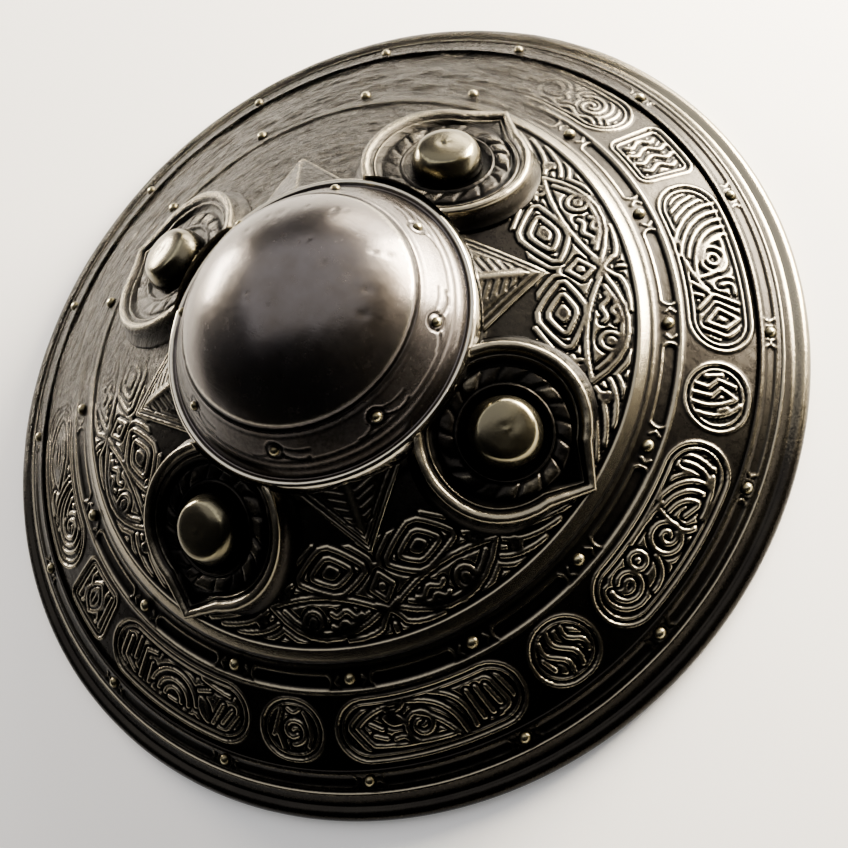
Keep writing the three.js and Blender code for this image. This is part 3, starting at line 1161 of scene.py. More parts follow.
@dataclass(frozen=True)
class Leather:
    """Vegetable-tanned cowhide strip, waxed dark and rubbed by the hand.

    Args:
        name: the finish.
        dark: sRGB colour in the creases.
        plain: sRGB colour of the strip.
        rubbed_code: sRGB colour of the handled crowns.
    """

    name: str = "waxed_cowhide"
    dark: str = "#1b100a"
    plain: str = "#43291a"
    rubbed_code: str = "#7a5234"

    def build(self) -> bpy.types.Material:
        """Make the node material: 1.2 mm pebbled grain, glossy only on the handled crowns.

        Returns:
            The material.
        """
        material = bpy.data.materials.new(self.name)
        material.use_nodes = True
        tree = material.node_tree
        shader = tree.nodes["Principled BSDF"]
        place = add_node(tree, "ShaderNodeTexCoord").outputs["Object"]
        rub_and_painted_light = add_node(tree, "ShaderNodeAttribute", attribute_name="rub_and_painted_light").outputs["Fac"]
        pebble = add_node(
            tree, "ShaderNodeTexVoronoi", {"Vector": place, "Scale": per_metre(1.2)}
        ).outputs["Distance"]
        cloud = add_node(
            tree, "ShaderNodeTexNoise", {"Vector": place, "Scale": per_metre(9), "Detail": 5.0}
        ).outputs["Fac"]
        shade = add_node(
            tree, "ShaderNodeMath", {0: cloud, 1: 0.5, 2: -0.25}, operation="MULTIPLY_ADD"
        ).outputs[0]
        wear = add_node(
            tree, "ShaderNodeMath", {0: rub_and_painted_light, 1: shade}, operation="ADD", use_clamp=True
        ).outputs[0]
        stops = (0.2, self.dark), (0.5, self.plain), (0.9, self.rubbed_code)
        colour = add_node(tree, "ShaderNodeValToRGB", {"Fac": wear}, stops=stops).outputs["Color"]
        tree.links.new(colour, shader.inputs["Base Color"])
        rough = add_node(tree, "ShaderNodeMapRange", {0: wear, 1: 0.2, 2: 0.9, 3: 0.85, 4: 0.5}).outputs[0]
        tree.links.new(rough, shader.inputs["Roughness"])
        bump = add_node(
            tree, "ShaderNodeBump", {"Height": pebble, "Distance": 0.15 * MM, "Strength": 1.0}
        ).outputs[0]
        tree.links.new(bump, shader.inputs["Normal"])
        return material


# ---------------------------------------------------------------- sub-assemblies


@dataclass
class Plate:
    """Dished ring of sheet with a band of carved fields round its outer part.

    Args:
        columns: points round the face.
        field_circle: radius of the middle of the fields.
        field_count: number of long fields, with a roundel between each two.
        long_half: half length of a long field.
        field_half: half width of a field, up the slope.
        roundel_half: half length of a roundel.
        border_circle: radius of the raised line inside the fields.
        rivet_circle: radius of the channel that holds the rivets.
        sink: depth of that channel.
        outline_top: height of a field's outline.
        floor: height of the ground in a field.
        long_motifs: what fills the long fields, in order round the turn.
        roundel_motifs: what fills the roundels, in the same order.
    """

    columns: int = 1210
    field_circle: float = 132.4
    field_count: int = 8
    long_half: float = 35.5
    field_half: float = 12.4
    roundel_half: float = 13.1
    border_circle: float = 120.4
    rivet_circle: float = BAND_RIVET_CIRCLE
    sink: float = 0.45
    outline_top: float = 0.5
    floor: float = -0.8
    long_motifs: tuple[Motif, ...] = (
        Motif.CURLS, Motif.LEAF, Motif.CURLS, Motif.LEAF, Motif.BARS, Motif.HOOK, Motif.LOOPS, Motif.EYE,
    )
    roundel_motifs: tuple[Motif, ...] = (
        Motif.NEST, Motif.WAVES, Motif.HOOKS, Motif.NEST, Motif.HOOKS, Motif.WAVES, Motif.FLAME, Motif.KNOT,
    )

    def build(self, iron: bpy.types.Material) -> None:
        """Carve the plate and stand it for its node.

        Args:
            iron: finish of the face.
        """
        rows = spread_rows([
            (PLATE_OPENING, 110, 13), (110, 115, 0.9), (115, 121.6, 0.55), (121.6, 143.8, 0.46),
            (143.8, PLATE_EDGE, 4),
        ])
        angles = spread_angles(lambda a: 1 - 0.62 * worn(a), self.columns)
        angle, r = np.meshgrid(angles, rows)
        height = self.carve(angle, r)
        tilt = slope(r)
        face_r = r + height * np.sin(tilt)
        face_z = dish(r) + height * np.cos(tilt)
        back = [(x, dish(x) - PLATE_THICK) for x in np.linspace(PLATE_EDGE, PLATE_OPENING, 26)]
        shell = Turned("plate_face", angles, face_r, face_z, back, rubbed(height), 150, roughen=0.25)
        finish_piece(shell.build(), iron, "dark_iron", "plate")

    def carve(self, angle: Array, r: Array) -> Array:
        """Relief of the whole face.

        Args:
            angle: direction of each point.
            r: distance of each point from the axis.

        Returns:
            Heights above the plain face.
        """
        height = np.zeros(angle.shape)
        in_channel = ease(112.4, 113.4, r) * (1 - ease(119.0, 119.9, r))
        height -= self.sink * in_channel
        step = TURN / (2 * self.field_count)
        for i in range(2 * self.field_count):
            self.rivet_field(angle, r, height, i * step)
        height[:] = stand_on(height, bar(np.abs(r - self.border_circle), 0.85), -0.1, 0.55)
        for i in range(self.field_count):
            self.field(angle, r, height, 2 * i * step, self.long_half, self.field_half, self.long_motifs[i])
            squared = self.roundel_motifs[i] in (Motif.NEST, Motif.KNOT)
            corner = 5.0 if squared else self.field_half
            self.field(
                angle, r, height, (2 * i + 1) * step, self.roundel_half, corner, self.roundel_motifs[i]
            )
        gone = worn(angle)
        coarse = Grain(11).around(angle, r, 2.8, 3.4, 4)
        fine = Grain(12).around(angle, r, 1.6, 1.4, 2)
        return height * (1 - WORN_LOSS * gone) + 0.75 * gone * coarse + (0.05 + 0.12 * gone) * fine

    def field(
        self, angle: Array, r: Array, height: Array, heading: float, half: float, corner: float, motif: Motif
    ) -> None:
        """Sink one field inside a double outline and fill it with its motif.

        Args:
            angle: direction of each point.
            r: distance of each point from the axis.
            height: relief, changed in place.
            heading: direction of the field's middle.
            half: half its length.
            corner: radius of its corners.
            motif: what fills it.
        """
        stretch = 1 / math.cos(slope(self.field_circle))
        x = apart(angle, heading) * self.field_circle
        y = (r - self.field_circle) * stretch
        near = (np.abs(x) < half + 2) & (np.abs(y) < self.field_half + 2)
        rows, cols = np.nonzero(near)
        px, py = x[rows, cols], y[rows, cols]
        gap = pill(px, py, half, self.field_half, corner)
        sunk = height[rows, cols] + self.floor * ease(1.0, 1.7, -gap)
        sunk = stand_on(sunk, bar(np.abs(gap + 0.75), 0.85), -0.15, self.outline_top + 0.15)
        sunk = stand_on(sunk, bar(np.abs(gap + 3.0), 0.65), self.floor, 0.95)
        carving = Carving(px, py, sunk)
        for stroke in motif_strokes(motif):
            carving.raise_line(stroke, 1.0, 0.25, self.floor)
        carving.contour(gap < -4.6, 2.75, 0.95, 0.1, self.floor)
        height[rows, cols] = carving.height

    def rivet_field(self, angle: Array, r: Array, height: Array, heading: float) -> None:
        """Sink the round-ended field between two rivets, with a small mark beside each rivet.

        Args:
            angle: direction of each point.
            r: distance of each point from the axis.
            height: relief, changed in place.
            heading: direction of the field's middle.
        """
        x = apart(angle, heading) * self.rivet_circle
        y = (r - self.rivet_circle - 1.0) / math.cos(slope(self.rivet_circle))
        near = (np.abs(x) < 24) & (np.abs(y) < 5)
        rows, cols = np.nonzero(near)
        px, py = x[rows, cols], y[rows, cols]
        gap = pill(px, py, 15.5, 2.9, 2.6)
        level = height[rows, cols] - self.sink * ease(0.2, 1.1, -gap)
        level = stand_on(level, bar(np.abs(gap), 0.55), -self.sink, self.sink)
        carving = Carving(px, py, level)
        for side in (-1, 1):
            mark = line((side * 18.4, -1.7), (side * 17.0, 0.0), (side * 18.6, 1.9))
            carving.raise_line(mark, 0.5, 0.05, -self.sink)
        height[rows, cols] = carving.height


@dataclass
class Disc:
    """Ornamented ring of sheet laid over the plate, with a smooth bevelled edge.

    Args:
        columns: points round the face.
        floor: height of the ground between the strokes.
        top: height of the strokes.
    """

    columns: int = 1030
    floor: float = -0.45
    top: float = 0.5

    def build(self, iron: bpy.types.Material) -> None:
        """Carve the disc and stand it for its node.

        Args:
            iron: finish of the face.
        """
        rows = spread_rows(
            [(DISC_INNER, 59, 5.5), (59, 74, 1.5), (74, 107.4, 0.49), (107.4, DISC_EDGE, 0.6)]
        )
        angles = spread_angles(self.density, self.columns)
        angle, r = np.meshgrid(angles, rows)
        height = self.carve(angle, r)
        tilt = slope(r)
        face_r = np.minimum(r + height * np.sin(tilt), DISC_EDGE)
        face_z = dish(r) + DISC_LIFT + height * np.cos(tilt)
        back = [(x, dish(x) + FIT_GAP) for x in np.linspace(DISC_EDGE - 0.4, DISC_INNER, 6)]
        crest = 0.22 * ease(107.2, 107.8, r) * (1 - ease(111.0, 111.6, r))
        wear = np.clip(rubbed(height, 6, 1.2) + crest, 0, 1)
        shell = Turned("disc_face", angles, face_r, face_z, back, wear, 96)
        finish_piece(shell.build(), iron, "dark_iron", "disc")

    def density(self, angle: Array) -> Array:
        """Where points are wanted: between the bezels, and least where the face is worn."""
        quarter = TURN / STUD_COUNT
        off = np.abs(apart(angle % quarter, quarter / 2))
        return (0.42 + 0.58 * (1 - ease(0.5, 0.56, off))) * (1 - 0.6 * worn(angle))

    def edge(self, r: Array) -> Array:
        """Section of the rolled crest and bevel, above the plain face.

        Args:
            r: distance of each point from the axis.

        Returns:
            Heights above the plain face.
        """
        section = [
            (0, 0.0), (105.8, 0.0), (106.3, -0.45), (106.8, -0.45), (107.3, 0.35), (107.8, 0.55),
            (109.4, 0.15), (111.0, -0.42), (111.6, -0.75), (DISC_EDGE, -1.0),
        ]
        return np.interp(r, *np.array(section).T)

    def carve(self, angle: Array, r: Array) -> Array:
        """Relief of the whole face.

        Args:
            angle: direction of each point.
            r: distance of each point from the axis.

        Returns:
            Heights above the plain face.
        """
        height = self.floor * ease(60, 62, r) * (1 - ease(105.4, 106.6, r))
        for quarter in range(STUD_COUNT):
            self.quarter(angle, r, height, (quarter + 0.5) * TURN / STUD_COUNT)
        gone = worn(angle)
        coarse = Grain(21).around(angle, r, 3.0, 2.4, 4)
        fine = Grain(22).around(angle, r, 1.5, 1.4, 2)
        inside = 1 - ease(106.5, 107.4, r)
        worn_height = height * (1 - WORN_LOSS * gone) + inside * (0.40 * gone * coarse + 0.06 * fine)
        return worn_height + self.edge(r)

    def quarter(self, angle: Array, r: Array, height: Array, heading: float) -> None:
        """Carve the ornament about one leaf's line, alike on its two sides.

        Args:
            angle: direction of each point.
            r: distance of each point from the axis.
            height: relief, changed in place.
            heading: direction of the leaf's line.
        """
        off = apart(angle, heading)
        rows, cols = np.nonzero((np.abs(off) < TURN / 8) & (r > 68) & (r < 107))
        near_off, near_r = off[rows, cols], r[rows, cols]
        carving = Carving(near_r * np.sin(near_off), near_r * np.cos(near_off), height[rows, cols])
        for stroke in [*self.side(), *mirrored(self.side()), *self.middle()]:
            carving.raise_line(stroke, 1.05, self.top, self.floor)
        carving.contour((near_r > 76) & (near_r < 105.8), 2.8, 1.0, self.top - 0.1, self.floor)
        height[rows, cols] = carving.height

    def side(self) -> list[Path]:
        """Strokes on one side of a leaf's line.

        Returns:
            Strokes in the flat of the disc.
        """
        corners = [spot(-20.5, 87), spot(-9.8, 92.2), spot(-1.8, 84.8), spot(-12.6, 75.2), spot(-20.5, 87)]
        lozenge = np.array(corners)
        centre = lozenge[:-1].mean(0)
        tips = spot(-26, 95.4), spot(-1.2, 98.2)
        eye = spot(-16.6, 99.3)
        return [
            *(rounded(centre + scale * (lozenge - centre)) for scale in (1.0, 0.58, 0.2)),
            ring(centre[0], centre[1], 0.5),
            line(spot(-22.6, 84.6), spot(-15.6, 75.6)),
            bend(tips[0], spot(-15, 114.5), tips[1]),
            bend(tips[0], spot(-13, 88.6), tips[1]),
            bend(spot(-23, 96.2), spot(-14.5, 109.5), spot(-4.4, 98.0)),
            ring(*eye, 3.3),
            ring(*eye, 1.0),
            wave(spot(-12.4, 96.6), spot(-6, 98.0), 0.9, 1.5),
            wave(spot(-12.4, 100.6), spot(-7.4, 100.4), 0.9, 1.5),
            bend(spot(-2.4, 96.4), spot(1.0, 98.6), spot(2.4, 103.2)),
            bend(spot(2.4, 103.2), spot(4.4, 105.6), spot(9.5, 105.4)),
            curl(*spot(-23.0, 90.8), 2.4, 0.8, 200, -420),
            line(spot(-26.4, 93.0), spot(-21.4, 88.0)),
            bend(spot(-27, 97), spot(-30, 103), spot(-37, 105)),
            bend(spot(-24.5, 100.5), spot(-27, 104.5), spot(-33, 105.6)),
            bend(spot(-29, 94.8), spot(-33, 101), spot(-40, 104.6)),
            curl(*spot(-28.2, 100.0), 1.9, 0.7, 60, 400),
        ]

    def middle(self) -> list[Path]:
        """Small diamond on a leaf's line."""
        diamond = np.array([spot(0, 87.2), spot(2.5, 91.4), spot(0, 95.6), spot(-2.5, 91.4), spot(0, 87.2)])
        return [diamond, ring(0, 91.4, 0.6), line(spot(0, 103.4), spot(0, 105.6))]


def rounded(corners: Path) -> Path:
    """Closed outline whose sides bow outwards and whose corners are eased.

    Args:
        corners: its corners, the first one again at the end.

    Returns:
        The stroke.
    """
    centre = corners[:-1].mean(0)
    sides = []
    for a, b in zip(corners[:-1], corners[1:]):
        start, end = a + 0.12 * (b - a), b - 0.12 * (b - a)
        middle = 0.5 * (a + b)
        sides.append(bend(start, middle + 0.12 * (middle - centre), end))
    outline = np.concatenate(sides)
    return np.concatenate([outline, outline[:1]])


def spot(degrees: float, r: float) -> tuple[float, float]:
    """Place of a direction and distance in the flat of the disc, y away from the axis."""
    a = math.radians(degrees)
    return r * math.sin(a), r * math.cos(a)


@dataclass
class Rim:
    """Lapping strip, sharp crest, cove and rolled bead.

    Args:
        columns: points round the face.
        rivet_circle: radius of the channel that holds the rivets.
        rivet_count: number of rivets.
        sink: depth of the channel.
    """

    columns: int = 1080
    rivet_circle: float = 147.9
    rivet_count: int = 16
    sink: float = 0.55

    def build(self, iron: bpy.types.Material) -> None:
        """Carve the rim and stand it for its node.

        Args:
            iron: its finish.
        """
        section = self.section()
        r, z = section[:, 0], section[:, 1]
        normal = outward(section)
        angles = spread_angles(lambda a: 1 - 0.4 * worn(a), self.columns)
        angle, base_r = np.meshgrid(angles, r)
        height = self.carve(angle, base_r)
        height[0] = 0
        height[-3:] = 0
        face_r = base_r + height * normal[:, :1]
        face_z = z[:, None] + height * normal[:, 1:]
        slot_r = PLATE_EDGE + FIT_GAP
        back = [
            (RIM_RADIUS - BEAD_RADIUS, 0.0),
            (RIM_FOOT, 0.0),
            (RIM_FOOT, dish(RIM_FOOT) - PLATE_THICK - FIT_GAP),
            (slot_r, dish(slot_r) - PLATE_THICK - FIT_GAP),
            (slot_r, dish(slot_r) + FIT_GAP),
            (STRIP_INNER, dish(STRIP_INNER) + FIT_GAP),
        ]
        # Painted highlight: the bead is made paler, and so more reflective, only on the side towards the key
        # light near heading 0, so that side shines and the rest stays dark
        painted_highlight_side = 1 - ease(math.radians(40), math.radians(85), np.abs(apart(angle, 0)))
        wear = rubbed(height, 4, 1.0) + 0.45 * np.exp(-(((base_r - CREST_RADIUS + 0.4) / 0.45) ** 2))
        wear += 0.4 * painted_highlight_side * ease(153.2, 155.0, base_r)
        face_r = np.minimum(face_r, RIM_RADIUS)
        shell = Turned("rim_face", angles, face_r, face_z, back, np.clip(wear, 0, 1), 180)
        finish_piece(shell.build(), iron, "dark_iron", "rim")

    def section(self) -> Array:
        """Section from the strip's inner edge over the crest and round the bead.

        Returns:
            Rows of (r, z).
        """
        lift = FIT_GAP + STRIP_THICK
        points = [(STRIP_INNER, dish(STRIP_INNER) + FIT_GAP + 0.2)]
        for r in np.linspace(STRIP_INNER + 0.15, 150.4, 15):
            points.append((r, dish(r) + lift))
        crest = dish(CREST_RADIUS)
        points += [(150.9, dish(150.9) + lift - 0.35), (151.25, crest + 2.0), (151.6, crest + 2.3)]
        points += [(152.0, crest + 2.25), (152.4, crest + 1.8), (152.9, crest + 0.9)]
        points += [(153.6, crest - 0.1), (154.3, crest - 0.9), (155.0, crest - 1.5), (155.7, crest - 1.75)]
        centre = RIM_RADIUS - BEAD_RADIUS, BEAD_RADIUS
        for degrees in (100, 84, 68, 52, 36, 20, 4, -14, -34, -56):
            a = math.radians(degrees)
            points.append((centre[0] + BEAD_RADIUS * math.cos(a), centre[1] + BEAD_RADIUS * math.sin(a)))
        return np.array(points)

    def carve(self, angle: Array, r: Array) -> Array:
        """Relief of the strip: raised edge line, rivet channel and small marks beside the rivets.

        Args:
            angle: direction of each point.
            r: distance of each point from the axis.

        Returns:
            Heights above the plain face.
        """
        height = 0.25 * bar(np.abs(r - 145.2), 0.8)
        channel = ease(146.3, 146.9, r) * (1 - ease(149.0, 149.7, r))
        height -= self.sink * channel
        for i in range(self.rivet_count):
            x = apart(angle, (i + 0.5) * TURN / self.rivet_count) * self.rivet_circle
            y = (r - self.rivet_circle) * 1.25
            rows, cols = np.nonzero((np.abs(x) < 9) & (np.abs(y) < 4) & (r < 150.4))
            carving = Carving(x[rows, cols], y[rows, cols], height[rows, cols])
            carving.raise_line(ring(0, 0, 2.9), 0.5, 0.0, -self.sink)
            for side in (-1, 1):
                mark = line((side * 5.6, -2.0), (side * 4.2, 0), (side * 5.8, 2.2))
                carving.raise_line(mark, 0.5, 0.1, -self.sink)
            height[rows, cols] = carving.height
        gone = worn(angle)
        coarse = Grain(31).around(angle, r, 2.6, 4.0, 3)
        fine = Grain(32).around(angle, r, 1.4, 3.0, 2)
        return height * (1 - 0.6 * gone) + 0.16 * gone * coarse + 0.05 * fine


@dataclass
class Boss:
    """Domed cap on a stepped, riveted flange, hollow behind.

    Args:
        columns: points round the face.
        rivet_count: number of rivets on the cove.
        rivet_circle: radius of their circle.
    """

    columns: int = 540
    rivet_count: int = 8
    rivet_circle: float = BOSS_RIVET_CIRCLE

    def build(self, iron: bpy.types.Material) -> None:
        """Turn the boss, dent it and stand it for its node.

        Args:
            iron: its finish.
        """
        section = self.section()
        normal = outward(section)
        angles = np.arange(self.columns) * TURN / self.columns
        angle, base_r = np.meshgrid(angles, section[:, 0])
        base_z = np.broadcast_to(section[:, 1:], base_r.shape)
        height = self.carve(angle, base_r, base_z)
        face_r = base_r + height * normal[:, :1]
        face_z = np.minimum(base_z + height * normal[:, 1:], DOME_TOP)
        inner = DOME_SPHERE - SHELL
        centre = DOME_TOP - DOME_SPHERE
        dome = np.linspace(math.asin(DOME_BASE / DOME_SPHERE), 0.04, 14)
        seat = 53.0
        back = [
            (FLANGE_RADIUS - 0.3, dish(FLANGE_RADIUS) + DISC_LIFT + FIT_GAP),
            (seat, dish(seat) + DISC_LIFT + FIT_GAP), (seat - 0.4, 68.8), (49.8, 73.6), (45.6, 79.8),
            *[(inner * math.sin(a), centre + inner * math.cos(a)) for a in dome],
        ]
        # The cove is darkened a little all round as a patinated hollow, and much more on the side away from
        # the key light near -45 degrees: painted shade
        cove = ease(44.0, 45.0, base_r) * (1 - ease(55.0, 56.4, base_r))
        painted_shade_side = ease(math.radians(30), math.radians(75), np.abs(apart(angle, math.radians(-45))))
        wear = rubbed(height, 5, 1.3) + 0.42 * ease(56.4, 57.2, base_r)
        wear = np.clip(wear - 0.2 * cove * (0.3 + 0.7 * painted_shade_side), 0, 1)
        shell = Turned("boss_cap", angles, face_r, face_z, back, wear, 120, capped=True, roughen=0.15)
        finish_piece(shell.build(), iron, "polished_iron", "boss")

    def section(self) -> Array:
        """Section from the crown to the foot of the lip.

        Returns:
            Rows of (r, z).
        """
        centre = DOME_TOP - DOME_SPHERE
        rise = np.linspace(0.012, math.asin(DOME_BASE / DOME_SPHERE), 46)
        points = [(DOME_SPHERE * math.sin(a), centre + DOME_SPHERE * math.cos(a)) for a in rise]
        cove = np.array([(44.1, 85.75), (46.7, 82.1), (49.3, 78.4), (52.0, 74.3), (54.4, 70.4)])
        for a, b in zip(cove[:-1], cove[1:]):
            points += [tuple(a + (b - a) * t) for t in np.linspace(0.125, 1, 8)]
        lip = [
            (54.9, 69.4), (55.3, 68.5), (55.7, 68.1), (56.2, 68.3), (56.7, 68.8), (57.2, 69.05),
            (57.7, 69.1), (58.2, 68.9), (58.7, 68.4), (59.05, 67.6), (59.25, 66.6), (59.3, 65.4),
            (59.2, 63.5),
        ]
        return np.array(points + lip)

    def carve(self, angle: Array, r: Array, z: Array) -> Array:
        """Dents of the dome, engraved lines of the cove and the hollows round its rivets.

        Args:
            angle: direction of each point.
            r: distance of each point from the axis.
            z: height of each point.

        Returns:
            Heights above the plain surface.
        """
        x, y = r * np.cos(angle), r * np.sin(angle)
        hammer = Grain(51)
        broad = hammer.layer(x / 22 + 9, y / 22 + 5, 256) + 0.5 * hammer.layer(x / 10 + 30, y / 10 + 60, 256)
        height = 0.16 * broad * (1 - ease(84, 88, 170 - z))
        height += 0.02 * Grain(52).layer(x / 3 + 40, y / 3 + 40, 256)
        rng = np.random.default_rng(53)
        for _ in range(26):
            a, off = rng.uniform(0, TURN), rng.uniform(6, 46)
            size, depth = rng.uniform(0.8, 2.2), rng.uniform(0.05, 0.22)
            gap = np.hypot(x - off * math.cos(a), y - off * math.sin(a))
            height -= depth * np.exp(-((gap / size) ** 2))
        height -= 0.5 * bar(np.abs(r - 44.4), 0.5) * (r > 43)
        for circle, depth in ((46.2, 0.08), (51.8, 0.16), (53.4, 0.14)):
            height -= depth * bar(np.abs(r - circle), 0.42)
        step = TURN / self.rivet_count
        for i in range(self.rivet_count):
            ax = apart(angle, (i + 0.5) * step) * self.rivet_circle
            ay = (r - self.rivet_circle) * 1.7
            rows, cols = np.nonzero((np.abs(ax) < 18) & (np.abs(ay) < 9) & (r > 44.4))
            carving = Carving(ax[rows, cols], ay[rows, cols], height[rows, cols])
            carving.cut_line(ring(0, 0, 2.9), 0.75, 0.35)
            carving.cut_line(bend((2.6, 1.4), (6, 4.6), (12, 3.4)), 0.6, 0.28)
            carving.cut_line(bend((-2.6, 1.4), (-5, 4.0), (-9, 3.6)), 0.55, 0.22)
            carving.cut_line(bend((3.2, -1.2), (7, 0.8), (13, 0.4)), 0.5, 0.2)
            height[rows, cols] = carving.height
        return height


@dataclass
class Studs:
    """Four knobs, each in a pointed bezel with a rope of petals round it.

    Args:
        columns: points round a bezel.
        knob_columns: points round a knob.
        petals: number of petals in the rope.
        knob_height: height of a knob's crown.
        ridge_round: radius of a bezel's ridge.
        ridge_swell: how far the ridge swells at its flanks.
        ridge_tip: distance of its point.
        ridge_height: height of its crown.
        tip_drop: how far the crown falls at the point.
        flare: how far the foot spreads beyond the ridge.
    """

    columns: int = 220
    knob_columns: int = 88
    petals: int = 17
    knob_height: float = 11.4
    ridge_round: float = 28.2
    ridge_swell: float = 2.6
    ridge_tip: float = 35.6
    ridge_height: float = 4.8
    tip_drop: float = 1.6
    flare: float = 4.4

    def place(self, u: Array, v: Array, n: Array) -> Array:
        """Points of a stud's own frame, on the shield.

        Args:
            u: distance across.
            v: distance down the slope.
            n: distance away from the face.

        Returns:
            Places, the last axis being x, y and z.
        """
        u, v, n = np.broadcast_arrays(u, v, n)
        along = v * math.cos(STUD_TILT) + n * math.sin(STUD_TILT)
        up = n * math.cos(STUD_TILT) - v * math.sin(STUD_TILT)
        return np.stack([STUD_RADIUS + along, u, dish(STUD_RADIUS) + DISC_LIFT + up], -1)

    def on_disc(self, u: Array, v: Array) -> Array:
        """The same places dropped on to the disc.

        Args:
            u: distance across.
            v: distance down the slope.

        Returns:
            Places, the last axis being x, y and z.
        """
        points = self.place(u, v, np.zeros_like(u))
        points[..., 2] = dish(np.hypot(points[..., 0], points[..., 1])) + DISC_LIFT + FIT_GAP
        return points

    def ridge(self, angle: Array) -> Array:
        """Distance of the ridge from the knob's middle: round, swelling at the flanks, pointed outwards.

        Args:
            angle: directions round the knob.

        Returns:
            Distances.
        """
        off = np.abs(apart(angle, 0))
        touch = math.acos(self.ridge_round / self.ridge_tip)
        swell = self.ridge_swell * np.sin(np.minimum(off, math.pi / 2)) ** 2
        point = self.ridge_round / np.cos(np.clip(touch - off, 0, touch))
        return np.where(off > touch, self.ridge_round + swell, np.maximum(self.ridge_round + swell, point))

    def bezel_rings(self, seed: int) -> tuple[Array, Array]:
        """Rings of a bezel from its well to its foot, and the wear on them.

        Args:
            seed: chooses the hand-made unevenness.

        Returns:
            (rows, columns, 3) places and (rows, columns) wear.
        """
        angles = self.bezel_angles()
        ridge = self.ridge(angles)
        off = np.abs(apart(angles, 0))
        crown = self.ridge_height - self.tip_drop * np.exp(-((off / 0.35) ** 2))
        foot = ridge + self.flare * np.sin(np.minimum(off, math.pi / 2)) ** 1.5
        even = np.ones_like(angles)
        grain = Grain(seed)
        rows: list[tuple[Array, Array, float]] = [
            (even * distance, even * level, mark) for distance, level, mark in BEZEL_WELL
        ]
        first_rope = len(rows)
        for r in ROPE_ROWS:
            across = bar(np.abs(np.array(r) - ROPE_MIDDLE), 2.75, 3)
            turn = angles * self.petals / 2 + 0.28 * (r - ROPE_MIDDLE)
            jitter = 0.5 * grain.layer(angles * 6 + 3, even * 4, 38)
            petal = np.clip(np.abs(np.sin(turn + jitter)) * 1.7, 0, 1) ** 0.8
            kept = 0.62 + 0.38 * grain.layer(angles * 2.2 + 9, even * 2, 14)
            rows.append((even * r, 1.5 + 1.5 * across * petal * kept, 0.0))
        hold = ridge - 6.2
        rows += [
            (even * 23.0, even * 1.35, 0.1),
            (np.maximum(even * 23.4, 0.5 * (hold + 23.2)), even * 1.3, 0.1),
            (np.maximum(hold, 23.7), even * 1.45, 0.15),
            *((ridge + aside, crown + above, mark) for aside, above, mark in BEZEL_RIDGE),
        ]
        rings, wear = [], []
        for radius, height, mark in rows:
            uneven = 0.10 * grain.layer(angles * 9 + 5, radius / 3, 57)
            uneven = uneven + 0.05 * grain.layer(angles * 22, radius, 138)
            lifted = height + uneven * (height > 1.2)
            rings.append(self.place(radius * np.sin(angles), radius * np.cos(angles), lifted))
            wear.append(even * mark)
        for index in range(first_rope, first_rope + len(ROPE_ROWS)):
            wear[index] = np.clip(0.12 + 0.42 * (rows[index][1] - 1.5), 0, 1)
        top = rings[-1]
        base = self.on_disc(foot * np.sin(angles), foot * np.cos(angles))
        for t in np.linspace(0.12, 1, 9):
            share = np.array([t**1.7, t**1.7, 1 - (1 - t) ** 1.5])
            rings.append(top + (base - top) * share)
            wear.append(even * (0.72 - 0.55 * t))
        for share in (0.66, 0.33):
            rings.append(self.on_disc(foot * share * np.sin(angles), foot * share * np.cos(angles)))
            wear.append(even * 0.2)
        return np.array(rings), np.array(wear)

    def bezel_angles(self) -> Array:
        """Directions round a bezel, closest at its point."""
        return spread_angles(lambda a: 1 + 1.6 * np.exp(-((apart(a, 0) / 0.2) ** 2)), self.columns)

    def knob_rings(self, seed: int) -> tuple[Array, Array]:
        """Rings of a knob from its crown to its seat, slightly flat on top and uneven from the hand.

        Args:
            seed: chooses the unevenness.

        Returns:
            (rows, columns, 3) places and (rows, columns) wear.
        """
        angles = np.arange(self.knob_columns) * TURN / self.knob_columns
        grain = Grain(seed)
        rings, wear = [], []
        steps = np.linspace(0, len(KNOB_PROFILE) - 1, 30)
        order = np.arange(len(KNOB_PROFILE))
        radii, heights = [np.interp(steps, order, column) for column in np.array(KNOB_PROFILE).T]
        for radius, height in zip(radii, heights):
            flat = grain.layer(angles / TURN * 6, np.full_like(angles, height / 4), 6)
            shrink = 1 - 0.03 * (1 + flat) * ease(3, 10, radius)
            dent = 0.12 * (1 + grain.layer(angles / TURN * 5, np.full_like(angles, radius / 4 + 20), 5))
            top = np.maximum(height - dent * (height > 2), KNOB_SEAT)
            rings.append(self.place(radius * shrink * np.sin(angles), radius * shrink * np.cos(angles), top))
            shoulder = math.exp(-(((radius - 10.3) / 0.7) ** 2))
            wear.append(np.full_like(angles, 0.5 + 0.22 * shoulder - 0.3 * float(ease(12.2, 13.3, radius))))
        return np.array(rings), np.array(wear)

    def build(self, iron: bpy.types.Material, knob_iron: bpy.types.Material) -> None:
        """Make the four bezels and their knobs.

        Args:
            iron: finish of the bezels.
            knob_iron: finish of the knobs.
        """
        clear = FLANGE_RADIUS + FIT_GAP
        middle = np.array(0.0)
        for i in range(STUD_COUNT):
            spin = np.array(Matrix.Rotation(i * TURN / STUD_COUNT, 3, "Z"))
            rings, wear = self.bezel_rings(60 + i)
            out = np.hypot(rings[..., 0], rings[..., 1])
            rings[..., :2] *= np.maximum(1, clear / np.maximum(out, 1e-6))[..., None]
            poles = self.place(middle, middle, np.array(1.0)), self.on_disc(middle, middle)
            poles = tuple(pole @ spin.T for pole in poles)
            bezel = rings_piece(f"bezel_{i + 1}_carved", rings @ spin.T, poles, wear)
            finish_piece(bezel, iron, "dark_iron", f"bezel_{i + 1}")
            rings, wear = self.knob_rings(70 + i)
            ends = np.array(self.knob_height), np.array(KNOB_SEAT)
            poles = tuple(self.place(middle, middle, end) @ spin.T for end in ends)
            knob = rings_piece(f"knob_{i + 1}_worn", rings @ spin.T, poles, wear)
            finish_piece(knob, knob_iron, "polished_iron", f"knob_{i + 1}")


